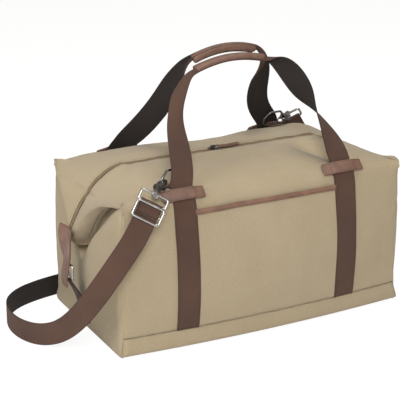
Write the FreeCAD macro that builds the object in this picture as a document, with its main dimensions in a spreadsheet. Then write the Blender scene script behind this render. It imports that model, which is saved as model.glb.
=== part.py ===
import FreeCAD, Part
import math
import os
import re
import Sketcher
from FreeCAD import Placement, Rotation, Vector

"""Canvas weekender bag with a zip top, folded zip ends, webbing handles and a shoulder strap.

Millimetres. X runs along the bag, -Y is the front, +Z is up. The origin is on the floor
under the middle of the bag. Canvas, lining and webbing are plain closed solids.
"""

os.makedirs("parts", exist_ok=True)
doc = FreeCAD.newDocument("weekender_bag")

# Driving sizes ---------------------------------------------------------------------------

DIMENSIONS = [
    ("bag_length", 530.0),          # between the corner seams
    ("bag_width", 277.0),           # front corner seam to back corner seam
    ("shoulder_height", 260.0),     # floor to the peaked upper corners
    ("ridge_height", 285.0),        # floor to the zip
    ("face_bulge", 12.0),           # how far the middle of the front stands forward
    ("canvas", 2.0),                # canvas with its backing
    ("seam_gap", 0.3),              # clearance between sewn pieces
    ("band_height", 33.0),          # base canvas turned up the front and back
    ("lining_cloth", 0.8),
    ("lining_gap", 2.0),
    ("board_thickness", 3.0),
    ("board_margin", 16.0),          # base board to the canvas all round
    ("wing_reach", 33.0),           # zip tip beyond the end panel
    ("wing_drop", 105.0),           # zip tip below the ridge
    ("wing_start", 75.0),           # where the zip turns down, in from the corner seam
    ("zip_gap", 12.0),              # canvas edge to canvas edge across the zip
    ("tape_width", 14.0),
    ("tape_thickness", 1.0),
    ("chain_width", 5.0),
    ("chain_thickness", 2.4),
    ("slider_length", 14.0),
    ("slider_width", 11.0),
    ("slider_height", 7.0),
    ("slider_place", -28.0),
    ("slider_clearance", 0.5),
    ("puller_length", 36.0),
    ("puller_width", 9.0),
    ("puller_thickness", 2.6),
    ("link_wire", 2.0),
    ("webbing_width", 40.0),
    ("webbing_thickness", 2.4),
    ("handle_spacing", 302.0),      # centre to centre of a handle's two legs
    ("handle_length", 206.0),       # hinge line to the middle of the grip
    ("grip_offset", 19.5),          # middle of a grip to the bag's middle plane
    ("hinge_gap", 1.0),
    ("grip_length", 136.0),
    ("grip_height", 22.0),
    ("grip_thickness", 15.0),
    ("tab_length", 78.0),
    ("tab_width", 22.0),
    ("tab_thickness", 3.0),
    ("tab_slope", 45.0),            # degrees back from upright
    ("pocket_drop", 23.0),          # pocket's bound edge below the peaked corners
    ("pocket_cloth", 1.2),
    ("binding_width", 9.0),
    ("binding_thickness", 1.6),
    ("buckle_hang", 68.0),          # middle of the end buckle under the zip tip
    ("end_tab_width", 54.0),
    ("end_tab_tip", 24.0),
    ("leather", 2.6),
    ("end_strap_width", 38.0),
    ("buckle_width", 36.0),
    ("buckle_height", 26.0),
    ("buckle_wire", 3.6),
    ("prong_wire", 2.6),
    ("ring_width", 46.0),
    ("ring_depth", 30.0),
    ("ring_wire", 4.0),
    ("loop_leather_width", 24.0),
    ("loop_wire", 4.0),
    ("loop_length", 50.0),
    ("loop_depth", 17.0),
    ("adjuster_length", 50.0),
    ("adjuster_depth", 27.0),
    ("strap_width", 38.0),
    ("strap_thickness", 2.2),
]

sheet = doc.addObject("Spreadsheet::Sheet", "Sizes")
for row, (alias, value) in enumerate(DIMENSIONS, start=1):
    sheet.set("A%d" % row, alias)
    sheet.set("B%d" % row, repr(value))
    sheet.setAlias("B%d" % row, alias)
doc.recompute()


def size(expression):
    """Value of an expression written with the sheet's aliases, such as bag_length / 2."""
    return float(sheet.evalExpression(expression))


pieces = []

LENGTH = size("bag_length")
HALF_LENGTH = LENGTH / 2
HALF_WIDTH = size("bag_width") / 2
CANVAS = size("canvas")
GAP = size("seam_gap")
BAND = size("band_height")
SHOULDER = size("shoulder_height")
RIDGE = size("ridge_height")
BULGE = size("face_bulge")
HALF_ZIP = size("zip_gap") / 2


# Helpers ---------------------------------------------------------------------------------

def bound(expression):
    """The same expression with every alias pointing at the sheet."""
    return re.sub(r"[a-z]\w*", lambda word: "Sizes." + word.group(), expression)


def origin_plane(body, role):
    return next(item for item in body.Origin.OriginFeatures if item.Role == role)


def rectangle(body, name, role, low_a, high_a, low_b, high_b):
    """Sketch of a rectangle on one of the body's planes, with its four sides bound."""
    sketch = body.newObject("Sketcher::SketchObject", name)
    sketch.AttachmentSupport = [(origin_plane(body, role), "")]
    sketch.MapMode = "FlatFace"
    edges = [size(text) for text in (low_a, high_a, low_b, high_b)]
    corners = [Vector(edges[0], edges[2]), Vector(edges[1], edges[2]),
               Vector(edges[1], edges[3]), Vector(edges[0], edges[3])]
    for index in range(4):
        sketch.addGeometry(Part.LineSegment(corners[index], corners[(index + 1) % 4]), False)
    for index in range(4):
        sketch.addConstraint(Sketcher.Constraint("Coincident", index, 2, (index + 1) % 4, 1))
    for line, kind in ((0, "Horizontal"), (1, "Vertical"), (2, "Horizontal"), (3, "Vertical")):
        sketch.addConstraint(Sketcher.Constraint(kind, line))
    for kind, line, text in (("DistanceX", 0, low_a), ("DistanceX", 1, high_a),
                             ("DistanceY", 0, low_b), ("DistanceY", 2, high_b)):
        number = sketch.addConstraint(Sketcher.Constraint(kind, -1, 1, line, 1, size(text)))
        sketch.setExpression("Constraints[%d]" % number, bound(text))
    return sketch


def pad(body, name, sketch, depth):
    feature = body.newObject("PartDesign::Pad", name)
    feature.Profile = sketch
    feature.SideType = "Symmetric"
    feature.setExpression("Length", bound(depth))
    return feature


def pocket(body, name, sketch, depth):
    feature = body.newObject("PartDesign::Pocket", name)
    feature.Profile = sketch
    feature.SideType = "Symmetric"
    feature.setExpression("Length", bound(depth))
    return feature


def plate(name, role, low_a, high_a, low_b, high_b, depth, place=Placement()):
    """A rectangular plate, symmetric about its own plane."""
    body = doc.addObject("PartDesign::Body", name)
    sketch = rectangle(body, name + "_outline", role, low_a, high_a, low_b, high_b)
    pad(body, name + "_plate", sketch, depth)
    body.Label = name
    body.Placement = place
    pieces.append(body)
    return body


def put(name, shape, place=None):
    """A piece whose shape comes from Part's own functions."""
    feature = doc.addObject("Part::Feature", name)
    feature.Shape = shape
    feature.Label = name
    if place is not None:
        feature.Placement = place
    pieces.append(feature)
    return feature


def surface(rows):
    """Smooth sheet pulled towards a grid of control points."""
    knots = []
    counts = []
    degrees = []
    for count in (len(rows), len(rows[0])):
        degree = min(3, count - 1)
        degrees.append(degree)
        knots.append([float(index) for index in range(count - degree + 1)])
        counts.append([degree + 1] + [1] * (count - degree - 1) + [degree + 1])
    sheet_surface = Part.BSplineSurface()
    sheet_surface.buildFromPolesMultsKnots(rows, counts[0], counts[1], knots[0], knots[1],
                                           False, False, degrees[0], degrees[1])
    return sheet_surface.toShape()


def cloth(outer, inner):
    """Closed solid between two grids of control points, one for each side of a cloth."""
    faces = [surface(outer), surface(inner)]
    faces.append(surface([outer[0], inner[0]]))
    faces.append(surface([outer[-1], inner[-1]]))
    faces.append(surface([[row[0] for row in outer], [row[0] for row in inner]]))
    faces.append(surface([[row[-1] for row in outer], [row[-1] for row in inner]]))
    shell = Part.makeShell(faces)
    shell.sewShape()
    solid = Part.makeSolid(shell)
    return solid if solid.Volume > 0 else solid.reversed()


def polygon(points):
    return Part.makePolygon(list(points) + [points[0]])


def mirrored_y(shape):
    return shape.mirror(Vector(0, 0, 0), Vector(0, 1, 0))


def mirrored_x(shape):
    return shape.mirror(Vector(0, 0, 0), Vector(1, 0, 0))


def turned(shape):
    """The shape turned half a turn about the bag's upright axis."""
    return shape.rotated(Vector(0, 0, 0), Vector(0, 0, 1), 180)


def rod_path(points, radius, closed):
    """Straight runs joined by tangent arcs of one radius."""
    count = len(points)
    corners = range(count) if closed else range(1, count - 1)
    ends = {}
    edges = []
    for index in corners:
        here = points[index]
        before = (points[index - 1] - here).normalize()
        after = (points[(index + 1) % count] - here).normalize()
        half = before.getAngle(after) / 2
        reach = radius / math.tan(half)
        middle = (before + after).normalize()
        centre = here + middle * (radius / math.sin(half))
        start = here + before * reach
        stop = here + after * reach
        ends[index] = (start, stop)
        edges.append(Part.Arc(start, centre - middle * radius, stop).toShape())
    for index in range(count if closed else count - 1):
        following = (index + 1) % count
        start = ends[index][1] if index in ends else points[index]
        stop = ends[following][0] if following in ends else points[following]
        edges.append(Part.makeLine(start, stop))
    return Part.Wire(Part.__sortEdges__(edges))


def rod(points, bend, wire, closed=True):
    """Round wire bent along the points."""
    path = rod_path(points, bend, closed)
    start = path.OrderedEdges[0]
    origin = start.valueAt(start.FirstParameter)
    along = start.tangentAt(start.FirstParameter)
    if path.OrderedEdges[0].Orientation == "Reversed":
        origin = start.valueAt(start.LastParameter)
        along = start.tangentAt(start.LastParameter)
    profile = Part.Wire(Part.makeCircle(wire / 2, origin, along))
    return path.makePipeShell([profile], True, False)


# Canvas shape ----------------------------------------------------------------------------

def corner_share(x):
    """0 in the middle of the bag, 1 at its corner seams."""
    return min(1.0, abs(x) / HALF_LENGTH) ** 2


def blend(middle, corner, x):
    share = corner_share(x)
    return middle * (1 - share) + corner * share


def zip_height(x):
    """Height of the zip: level, then a quarter of an ellipse down to the tip."""
    start = HALF_LENGTH - size("wing_start")
    span = size("wing_start") + size("wing_reach")
    beyond = min(max(0.0, abs(x) - start) / span, 1.0)
    return RIDGE - size("wing_drop") * (1 - math.sqrt(1 - beyond ** 2))


def front_section(x, inset):
    """Control points of the canvas across the bag, from the base seam to the zip."""
    face = -(HALF_WIDTH + blend(BULGE, 0, x)) + inset
    swell = blend(8, 0, x)
    shoulder_in = blend(14, 0, x)
    top = zip_height(x)
    return [
        Vector(x, face, BAND + GAP),
        Vector(x, face - swell, BAND + 50),
        Vector(x, face - swell, BAND + 120),
        Vector(x, face + shoulder_in / 2, SHOULDER - 45),
        Vector(x, face + shoulder_in, SHOULDER - blend(4, 2, x) - inset / 2),
        Vector(x, face + shoulder_in + blend(30, 10, x), blend(RIDGE - 6, SHOULDER, x) - inset),
        Vector(x, -HALF_WIDTH * 0.45, blend(RIDGE, (SHOULDER + top) / 2, x) - inset),
        Vector(x, -HALF_ZIP, top - inset),
    ]


def main_stations():
    edge = HALF_LENGTH - CANVAS - GAP
    return [edge * share for share in (-1, -0.9, -0.72, -0.4, 0, 0.4, 0.72, 0.9, 1)]


def wing_stations():
    """Lower fold edge and zip point of the left wing, from the peaked corner to the tip."""
    reach = size("wing_reach")
    start = HALF_LENGTH + GAP * 4
    rows = []
    for turn in (0.0, 0.2, 0.4, 0.6, 0.8, 1.0):
        swing = turn * math.pi / 2
        fold = Vector(-start - (reach - 10) * math.sin(swing),
                      -HALF_WIDTH + (HALF_WIDTH - 24) * (1 - math.cos(swing)) ** 0.8,
                      SHOULDER - 3 - (SHOULDER - 15 - RIDGE + size("wing_drop")) * turn ** 1.6)
        ridge_x = start + (HALF_LENGTH + reach - start) * math.sin(swing) ** 0.9
        rows.append((fold, Vector(-ridge_x, -HALF_ZIP, zip_height(ridge_x))))
    return rows


HEART = Vector(-HALF_LENGTH + 70, 0, 150)     # middle of the space in the bag's left end


def inward(point):
    """Direction from a point of the left wing to the heart of the bag's left end."""
    return Vector(HEART.x - point.x, -point.y * 0.4, HEART.z - point.z).normalize()


def wing_row(fold, ridge, inset):
    """Control points of the wing's cloth from its fold edge to the zip at one station."""
    span = ridge - fold
    crown = Vector(-1, -0.6, 0.8).normalize() * (span.Length * 0.12)
    row = [fold, fold + span * 0.3 + crown, fold + span * 0.7 + crown * 0.6, ridge]
    moved = [point + inward(point) * inset for point in row]
    moved[-1].y = ridge.y
    return moved


def front_canvas():
    """Front, roof half and both wings: the main stretch and a lump for each wing."""
    stations = main_stations()
    main = cloth([front_section(x, 0) for x in stations],
                 [front_section(x, CANVAS) for x in stations])
    rows = wing_stations()
    left = cloth([wing_row(fold, ridge, 0) for fold, ridge in rows],
                 [wing_row(fold, ridge, CANVAS) for fold, ridge in rows])
    return Part.Compound([main, left, mirrored_x(left)])


put("front_panel", front_canvas())
put("back_panel", mirrored_y(front_canvas()))


# Base, ends and lining -------------------------------------------------------------------

def tray_row(x, floor, inset):
    """Control points of the base cloth from the front seam, under the bag, to the back."""
    side = HALF_WIDTH + blend(BULGE, 0, x) - inset
    front = [Vector(x, -side, BAND), Vector(x, -side, 18), Vector(x, -side, floor + 4),
             Vector(x, -side + 6, floor), Vector(x, -side + 24, floor)]
    back = [Vector(point.x, -point.y, point.z) for point in reversed(front)]
    return front + [Vector(x, 0, floor)] + back


UNDERCUT = 0.4                      # depth trimmed off, so the bag stands on a true plane


def base_tray():
    """Base cloth, trimmed level along the floor."""
    tray = cloth([tray_row(x, -UNDERCUT, 0) for x in main_stations()],
                 [tray_row(x, CANVAS, CANVAS) for x in main_stations()])
    floor_block = Part.makeBox(2 * LENGTH, 2 * LENGTH, 10, Vector(-LENGTH, -LENGTH, -10))
    return tray.cut(floor_block).removeSplitter()


put("base_panel", base_tray())

plate("base_board", "XY_Plane",
      "-bag_length / 2 + board_margin", "bag_length / 2 - board_margin",
      "-bag_width / 2 + board_margin", "bag_width / 2 - board_margin", "board_thickness",
      Placement(Vector(0, 0, size("canvas + seam_gap + board_thickness / 2")), Rotation()))

END_TOP = "shoulder_height - 16"
for name, sign in (("left", -1), ("right", 1)):
    plate("end_panel_" + name, "YZ_Plane", "-bag_width / 2", "bag_width / 2", "0", END_TOP,
          "canvas", Placement(Vector(sign * (HALF_LENGTH - CANVAS / 2), 0, 0), Rotation()))
    plate("lining_end_" + name, "YZ_Plane",
          "-bag_width / 2 + canvas + 2 * lining_gap", "bag_width / 2 - canvas - 2 * lining_gap",
          "canvas + board_thickness + 4 * seam_gap", END_TOP + " - 6", "lining_cloth",
          Placement(Vector(sign * (HALF_LENGTH - CANVAS - 3 * GAP), 0, 0), Rotation()))


def lining_row(x, inset):
    """Control points of the lining from the front zip tape, round the base, to the back."""
    inside = front_section(x, inset)
    near, edge = inside[-2:]
    fall = (edge.z - near.z) / (edge.y - near.y) * size("tape_width")
    inside[-1] = Vector(x, -HALF_ZIP - size("tape_width"), edge.z - 2 - fall)
    floor = size("canvas + board_thickness + 4 * seam_gap") + inset - size("canvas + lining_gap")
    side = inside[0].y
    front = list(reversed(inside[1:])) + [Vector(x, side, floor + 24), Vector(x, side, floor + 6),
                                          Vector(x, side + 6, floor), Vector(x, side + 24, floor)]
    back = [Vector(point.x, -point.y, point.z) for point in reversed(front)]
    return front + [Vector(x, 0, floor)] + back


LINING_HALF = HALF_LENGTH - CANVAS - 3 * GAP - 2 * size("lining_cloth")
LINING_INSET = size("canvas + lining_gap")
lining_stations = [x * LINING_HALF / main_stations()[-1] for x in main_stations()]
put("lining_body", cloth([lining_row(x, LINING_INSET) for x in lining_stations],
                         [lining_row(x, LINING_INSET + size("lining_cloth"))
                          for x in lining_stations]))


# Zip -------------------------------------------------------------------------------------

def zip_line(drop):
    """Control points along the zip at a depth under the canvas edge, tip to tip."""
    left = []
    for fold, ridge in reversed(wing_stations()):
        left.append(Vector(ridge.x, 0, ridge.z) + inward(ridge) * drop)
    left.append(left[-1])
    main = [Vector(x, 0, zip_height(x) - drop) for x in main_stations()]
    main = [main[0]] + main + [main[-1]]
    right = [Vector(-point.x, 0, point.z) for point in reversed(left)]
    return left + main + right


def roof_fall():
    """How the roof runs down from the zip at each point of the zip line, for one unit of Y."""
    left = []
    for fold, ridge in reversed(wing_stations()):
        near, edge = wing_row(fold, ridge, 0)[-2:]
        left.append((near - edge) * (1 / (edge.y - near.y)))
    left.append(left[-1])
    main = []
    for x in main_stations():
        near, edge = front_section(x, 0)[-2:]
        main.append((near - edge) * (1 / (edge.y - near.y)))
    main = [main[0]] + main + [main[-1]]
    right = [Vector(-fall.x, fall.y, fall.z) for fall in reversed(left)]
    return left + main + right


def zip_strip(low_y, high_y, drop, thickness, sloped=False):
    """Strip along the zip; a sloped one lets its outer edge run down with the roof."""
    rows = []
    reach = -HALF_ZIP - low_y if sloped else 0
    for depth in (drop, drop + thickness):
        row = []
        for point, fall in zip(zip_line(depth), roof_fall()):
            outer = point + fall * reach
            row.append([Vector(outer.x, low_y, outer.z), Vector(point.x, high_y, point.z)])
        rows.append(row)
    return cloth(rows[0], rows[1])


CHAIN_HALF = size("chain_width") / 2
CHAIN_DROP = CANVAS - 0.8
TAPE_DROP = CANVAS + 1.8
front_tape = zip_strip(-CHAIN_HALF - GAP - size("tape_width"), -CHAIN_HALF - GAP,
                       TAPE_DROP, size("tape_thickness"), sloped=True)
put("zip_tape_front", front_tape)
put("zip_tape_back", mirrored_y(front_tape))
put("zip_chain", zip_strip(-CHAIN_HALF, CHAIN_HALF, CHAIN_DROP, size("chain_thickness")))

SLIDER_X = size("slider_place")
TAPE_TOP = RIDGE - TAPE_DROP
CLEAR = size("slider_clearance")
SLIDER_TOP = TAPE_TOP + CLEAR + size("slider_height") - 2
slider = doc.addObject("PartDesign::Body", "zip_slider")
pad(slider, "slider_block", rectangle(slider, "slider_outline", "XZ_Plane",
    "-slider_length / 2", "slider_length / 2", "0", "slider_height - 2"), "slider_width")
channel = rectangle(slider, "slider_channel", "YZ_Plane", "-chain_width / 2 - slider_clearance",
                    "chain_width / 2 + slider_clearance", "-1", "slider_height - 4")
pocket(slider, "slider_channel_cut", channel, "slider_length + 2")
slider.Label = "zip_slider"
slider.Placement = Placement(Vector(SLIDER_X, 0, TAPE_TOP + CLEAR), Rotation())
pieces.append(slider)

LINK = size("link_wire")
LINK_HALF = 6.0
LINK_REACH = 13.0
LINK_Z = SLIDER_TOP + LINK / 2 + 0.4
BAIL_LENGTH = 8.0
BAIL_WIDTH = 3.0
BAIL_WALL = 1.5
bail_outer = Part.makeBox(BAIL_LENGTH, BAIL_WIDTH, LINK + 0.9 + BAIL_WALL,
                          Vector(SLIDER_X - BAIL_LENGTH / 2, -BAIL_WIDTH / 2, SLIDER_TOP + 0.05))
bail_window = Part.makeBox(BAIL_LENGTH - 2 * BAIL_WALL, 2 * BAIL_WIDTH, LINK + 0.8,
                           Vector(SLIDER_X - BAIL_LENGTH / 2 + BAIL_WALL, -BAIL_WIDTH, SLIDER_TOP))
put("slider_bail", bail_outer.cut(bail_window))

link_points = [Vector(SLIDER_X + dx, dy, LINK_Z) for dx, dy in
               ((0, -LINK_HALF), (LINK_REACH, -LINK_HALF), (LINK_REACH, LINK_HALF), (0, LINK_HALF))]
put("puller_link", rod(link_points, 2.0, LINK))

PULL = size("puller_thickness")
eye_x = SLIDER_X + LINK_REACH
eye = Part.makeCylinder(LINK / 2 + 1.5, 7.4, Vector(eye_x, -3.7, LINK_Z), Vector(0, 1, 0))
eye_hole = Part.makeCylinder(LINK / 2 + 0.1, 9, Vector(eye_x, -4.5, LINK_Z), Vector(0, 1, 0))
strip = Part.makeBox(size("puller_length"), size("puller_width"), PULL,
                     Vector(eye_x + 2.2, -size("puller_width") / 2, LINK_Z - PULL / 2))
neck = Part.makeBox(4, 7.4, PULL, Vector(eye_x, -3.7, LINK_Z - PULL / 2))
put("zip_puller", eye.fuse([neck, strip]).cut(eye_hole).removeSplitter())


# Shoulder line: where the webbing leaves the canvas --------------------------------------

def front_curve(x, offset, share_low=0.0, share_high=1.0, count=40):
    """Points on the canvas across the bag at one place, from the base seam to the zip."""
    curve = Part.BSplineCurve()
    curve.buildFromPoles(front_section(x, 0), False, 3)
    first, last = curve.FirstParameter, curve.LastParameter
    points = []
    for step in range(count + 1):
        share = share_low + (share_high - share_low) * step / count
        place = first + (last - first) * share
        along = curve.tangent(place)[0]
        normal = Vector(0, -along.z, along.y)
        points.append((curve.value(place) + normal * offset, along, normal))
    return points


LEG_X = size("handle_spacing") / 2
WEBBING = size("webbing_thickness")
WEB_HALF = size("webbing_width") / 2
LEATHER = size("leather")
SLOPE = math.radians(size("tab_slope"))
RIGHT_HAND = Vector(1, 0, 0)

leg_line = front_curve(LEG_X, 0, count=400)
tab_foot, tab_along, tab_normal = min(
    leg_line, key=lambda item: abs(math.atan2(item[1].y, item[1].z) - SLOPE))
TAB_SHARE = leg_line.index((tab_foot, tab_along, tab_normal)) / 400
STANDOFF = 4 * GAP
TAB_LIFT = STANDOFF + WEBBING + GAP + size("tab_thickness")
hinge = (tab_foot + tab_along * (size("tab_width") / 2 + size("hinge_gap"))
         + tab_normal * (TAB_LIFT + GAP + WEBBING / 2))
print("hinge", hinge, "tab foot", tab_foot)


def webbing_leg(low_x, high_x):
    """Webbing stitched to the front from the base seam to the tab's upper edge."""
    outer, inner = [], []
    top = TAB_SHARE * 1.005
    for share in [top * step / 11 for step in range(12)]:
        rows = []
        for offset in (STANDOFF + WEBBING, STANDOFF):
            rows.append([front_curve(x, offset, share, share, 1)[0][0] for x in (low_x, high_x)])
        outer.append(rows[0])
        inner.append(rows[1])
    return cloth(outer, inner)


left_leg = webbing_leg(-LEG_X - WEB_HALF, -LEG_X + WEB_HALF)
put("front_leg_left", left_leg)
put("front_leg_right", mirrored_x(left_leg))
put("back_leg_left", mirrored_y(left_leg))
put("back_leg_right", turned(left_leg))

# Leather tabs over the legs
tab_rise = STANDOFF + WEBBING + GAP + size("tab_thickness") / 2
tab_turn = math.degrees(math.atan2(tab_along.y, tab_along.z))
for side, back in (("front", False), ("back", True)):
    for name, sign in (("left", -1), ("right", 1)):
        centre = tab_foot + tab_normal * tab_rise
        centre.x = sign * LEG_X
        turn = Rotation(Vector(1, 0, 0), -tab_turn)
        if back:
            centre.y = -centre.y
            turn = Rotation(Vector(1, 0, 0), tab_turn)
        plate("handle_tab_%s_%s" % (side, name), "XZ_Plane", "-tab_length / 2", "tab_length / 2",
              "-tab_width / 2", "tab_width / 2", "tab_thickness", Placement(centre, turn))

# Slip pocket between the legs
pocket_half = LEG_X - WEB_HALF - GAP
POCKET_CLOTH = size("pocket_cloth")
POCKET_TOP = size("shoulder_height - pocket_drop")
curve_points = front_curve(LEG_X, 0, count=400)
pocket_share = min(range(len(curve_points)),
                   key=lambda index: abs(curve_points[index][0].z - POCKET_TOP)) / 400


def front_patch(low_share, high_share, lift, thickness, steps):
    """Sheet that follows the canvas between the legs."""
    rows = []
    for offset in (lift + thickness, lift):
        rows.append([[front_curve(pocket_half * across, offset, share, share, 1)[0][0]
                      for across in (-1, -0.6, -0.2, 0.2, 0.6, 1)]
                     for share in [low_share + (high_share - low_share) * step / steps
                                   for step in range(steps + 1)]])
    return cloth(rows[0], rows[1])


PATCH_LIFT = 3 * GAP
put("front_pocket_panel", front_patch(0, pocket_share, PATCH_LIFT, POCKET_CLOTH, 8))
section_run = sum((after[0] - before[0]).Length
                  for before, after in zip(curve_points, curve_points[1:]))
binding_share = size("binding_width") / section_run
put("pocket_binding", front_patch(pocket_share - binding_share, pocket_share,
                                  PATCH_LIFT + POCKET_CLOTH + GAP, size("binding_thickness"), 3))


# Handles ---------------------------------------------------------------------------------

REACH = size("handle_length")
LEAN = math.asin((-hinge.y - size("grip_offset")) / REACH)
UP = Vector(0, math.sin(LEAN), math.cos(LEAN))
OUT = Vector(0, -math.cos(LEAN), math.sin(LEAN))
GRIP_HALF = size("grip_length") / 2
CORE_HALF = size("grip_height") / 2 - 2


def handle_band():
    """Webbing from one leg, through the grip, to the other, leaning over the zip."""
    half = LEG_X - 2
    line = [(half, 0.6, 0, WEB_HALF), (half - 3, 30, 5, WEB_HALF), (half - 9, 75, 11, WEB_HALF),
            (half - 14, 118, 11, WEB_HALF), (half - 22, 155, 8, 17), (half - 38, 188, 3, 13),
            (GRIP_HALF + 16, REACH, 0, CORE_HALF), (GRIP_HALF, REACH, 0, CORE_HALF),
            (GRIP_HALF - 20, REACH, 0, CORE_HALF)]
    right = []
    for index, (x, rise, bow, half_width) in enumerate(line):
        before = line[max(index - 1, 0)]
        after = line[min(index + 1, len(line) - 1)]
        along = Vector(after[0] - before[0], after[1] - before[1], 0).normalize()
        right.append((x, rise, bow, Vector(along.y, -along.x, 0) * half_width))
    rows = [(x, rise, bow, reach) for x, rise, bow, reach in right]
    rows += [(-x, rise, bow, Vector(-reach.x, reach.y, 0))
             for x, rise, bow, reach in reversed(right)]
    grids = []
    for depth in (WEBBING / 2, -WEBBING / 2):
        grid = []
        for x, rise, bow, reach in rows:
            place = Vector(0, hinge.y, hinge.z) + OUT * (bow + depth)
            grid.append([place + RIGHT_HAND * (x + sign * reach.x) + UP * (rise + sign * reach.y)
                         for sign in (1, -1)])
        grids.append(grid)
    return cloth(grids[0], grids[1])


front_handle = handle_band()
put("front_handle", front_handle)
put("back_handle", mirrored_y(front_handle))
grip_centre = Vector(0, hinge.y, hinge.z) + UP * REACH
for side, sign in (("front", 1), ("back", -1)):
    name = side + "_grip"
    body = doc.addObject("PartDesign::Body", name)
    pad(body, name + "_block", rectangle(body, name + "_outline", "YZ_Plane",
        "-grip_thickness / 2", "grip_thickness / 2", "-grip_height / 2", "grip_height / 2"),
        "grip_length")
    slot = rectangle(body, name + "_slot", "YZ_Plane", "-webbing_thickness / 2 - seam_gap",
                     "webbing_thickness / 2 + seam_gap", "-grip_height / 2 + 1.4",
                     "grip_height / 2 - 1.4")
    cut = pocket(body, name + "_slot_cut", slot, "grip_length + 2")
    doc.recompute()
    round_edges = []
    for index, edge in enumerate(cut.Shape.Edges, start=1):
        middle = edge.CenterOfMass
        outside = (abs(abs(middle.y) - size("grip_thickness") / 2) < 0.01
                   and abs(abs(middle.z) - size("grip_height") / 2) < 0.01)
        if outside:
            round_edges.append("Edge%d" % index)
    fillet = body.newObject("PartDesign::Fillet", name + "_rounding")
    fillet.Base = (cut, round_edges)
    fillet.setExpression("Radius", bound("grip_thickness * 0.42"))
    body.Label = name
    body.Placement = Placement(Vector(0, sign * grip_centre.y, grip_centre.z),
                               Rotation(Vector(1, 0, 0), -sign * math.degrees(LEAN)))
    pieces.append(body)


# End closures ----------------------------------------------------------------------------

TIP_X = HALF_LENGTH + size("wing_reach")
BUCKLE_Z = RIDGE - size("wing_drop + buckle_hang")
BUCKLE_X = TIP_X + 2
WIRE = size("buckle_wire")
BAR = size("buckle_height") / 2


FOLD_RADIUS = WIRE / 2 + GAP + WEBBING


def end_tab():
    """Leather sewn on the wing's tip; its tongue slants through the buckle."""
    top = RIDGE - size("wing_drop") + 8
    fold = BUCKLE_Z + BAR + 14
    low = BUCKLE_Z - BAR
    half = size("end_tab_width") / 2
    tip = size("end_tab_tip") / 2
    near = -TIP_X - 0.8
    shield = Part.Face(polygon([Vector(near, -half, top), Vector(near, half, top),
                                Vector(near, tip, fold), Vector(near, -tip, fold)]))
    shield = shield.extrude(Vector(-LEATHER, 0, 0))
    behind = -BUCKLE_X + WIRE / 2 + 0.6 + LEATHER
    before = -BUCKLE_X - FOLD_RADIUS - 0.5
    line = [(near, fold + 2), (near, fold), (behind, BUCKLE_Z + BAR), (before, low + 2),
            (before, low - 16)]
    outline = [Vector(x, -tip, z) for x, z in line]
    outline += [Vector(x - LEATHER, -tip, z) for x, z in reversed(line)]
    tongue = Part.Face(polygon(outline)).extrude(Vector(0, 2 * tip, 0))
    slot = Part.makeBox(30, 5, 2 * BAR, Vector(-BUCKLE_X - 15, -2.5, low - 4))
    return shield.fuse(tongue).cut(slot).removeSplitter()


def end_buckle():
    half = size("buckle_width") / 2
    points = [Vector(-BUCKLE_X, -half, BUCKLE_Z - BAR), Vector(-BUCKLE_X, half, BUCKLE_Z - BAR),
              Vector(-BUCKLE_X, half, BUCKLE_Z + BAR), Vector(-BUCKLE_X, -half, BUCKLE_Z + BAR)]
    return rod(points, 4.0, WIRE)


PRONG = size("prong_wire")
PRONG_EYE = WIRE / 2 + 0.1


def end_prong():
    """Prong with an eye round the buckle's lower bar, lying on its upper bar."""
    low = BUCKLE_Z - BAR
    outer = Part.makeCylinder(PRONG_EYE + 1.3, 4, Vector(-BUCKLE_X, -2, low), Vector(0, 1, 0))
    hole = Part.makeCylinder(PRONG_EYE, 6, Vector(-BUCKLE_X, -3, low), Vector(0, 1, 0))
    start = Vector(-BUCKLE_X + 1.5, 0, low + PRONG_EYE + 0.2)
    stop = Vector(-BUCKLE_X - WIRE / 2 - PRONG / 2 - 1.0, 0, BUCKLE_Z + BAR + 2.5)
    along = stop - start
    stem = Part.makeCylinder(PRONG / 2, along.Length, start, along)
    return outer.fuse(stem).cut(hole).removeSplitter()


def end_strap():
    """Webbing from the end's bottom seam up to a fold round the buckle's lower bar."""
    low = BUCKLE_Z - BAR
    bar_gap = WIRE / 2 + GAP
    wall = -HALF_LENGTH - 2 * GAP
    fold_half = size("buckle_width") / 2 - 5
    neck = low - 12
    share = (neck - 30) / (low - bar_gap - 30)
    outer_x = wall - WEBBING + share * (-BUCKLE_X - 1 - wall + WEBBING)
    inner_x = wall + share * (-BUCKLE_X + 2 - wall)
    lower = [(wall, 8), (wall - WEBBING, 8), (wall - WEBBING, 30), (outer_x, neck),
             (inner_x, neck), (wall, 30)]
    upper = [(outer_x, neck), (-BUCKLE_X - 1, low - bar_gap - 0.4),
             (-BUCKLE_X + 2, low - bar_gap - 0.2), (inner_x, neck)]
    sheets = []
    for outline, half in ((lower, size("end_strap_width") / 2), (upper, fold_half)):
        face = Part.Face(polygon([Vector(x, -half, z) for x, z in outline]))
        sheets.append(face.extrude(Vector(0, 2 * half, 0)))
    axle = Vector(-BUCKLE_X, -fold_half, low)
    ring = Part.makeCylinder(FOLD_RADIUS, 2 * fold_half, axle, Vector(0, 1, 0))
    bore = Part.makeCylinder(bar_gap, 2 * fold_half, axle, Vector(0, 1, 0))
    notch = Part.makeBox(30, 6.5, 16, Vector(-BUCKLE_X - 15, -3.25, low - FOLD_RADIUS))
    return ring.fuse(sheets).cut(bore).cut(notch).removeSplitter()


for name, place in (("left", lambda shape: shape), ("right", mirrored_x)):
    put("end_tab_" + name, place(end_tab()))
    put("end_buckle_" + name, place(end_buckle()))
    put("end_prong_" + name, place(end_prong()))
    put("end_strap_" + name, place(end_strap()))


# D-rings and the shoulder strap's hardware -----------------------------------------------

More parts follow.
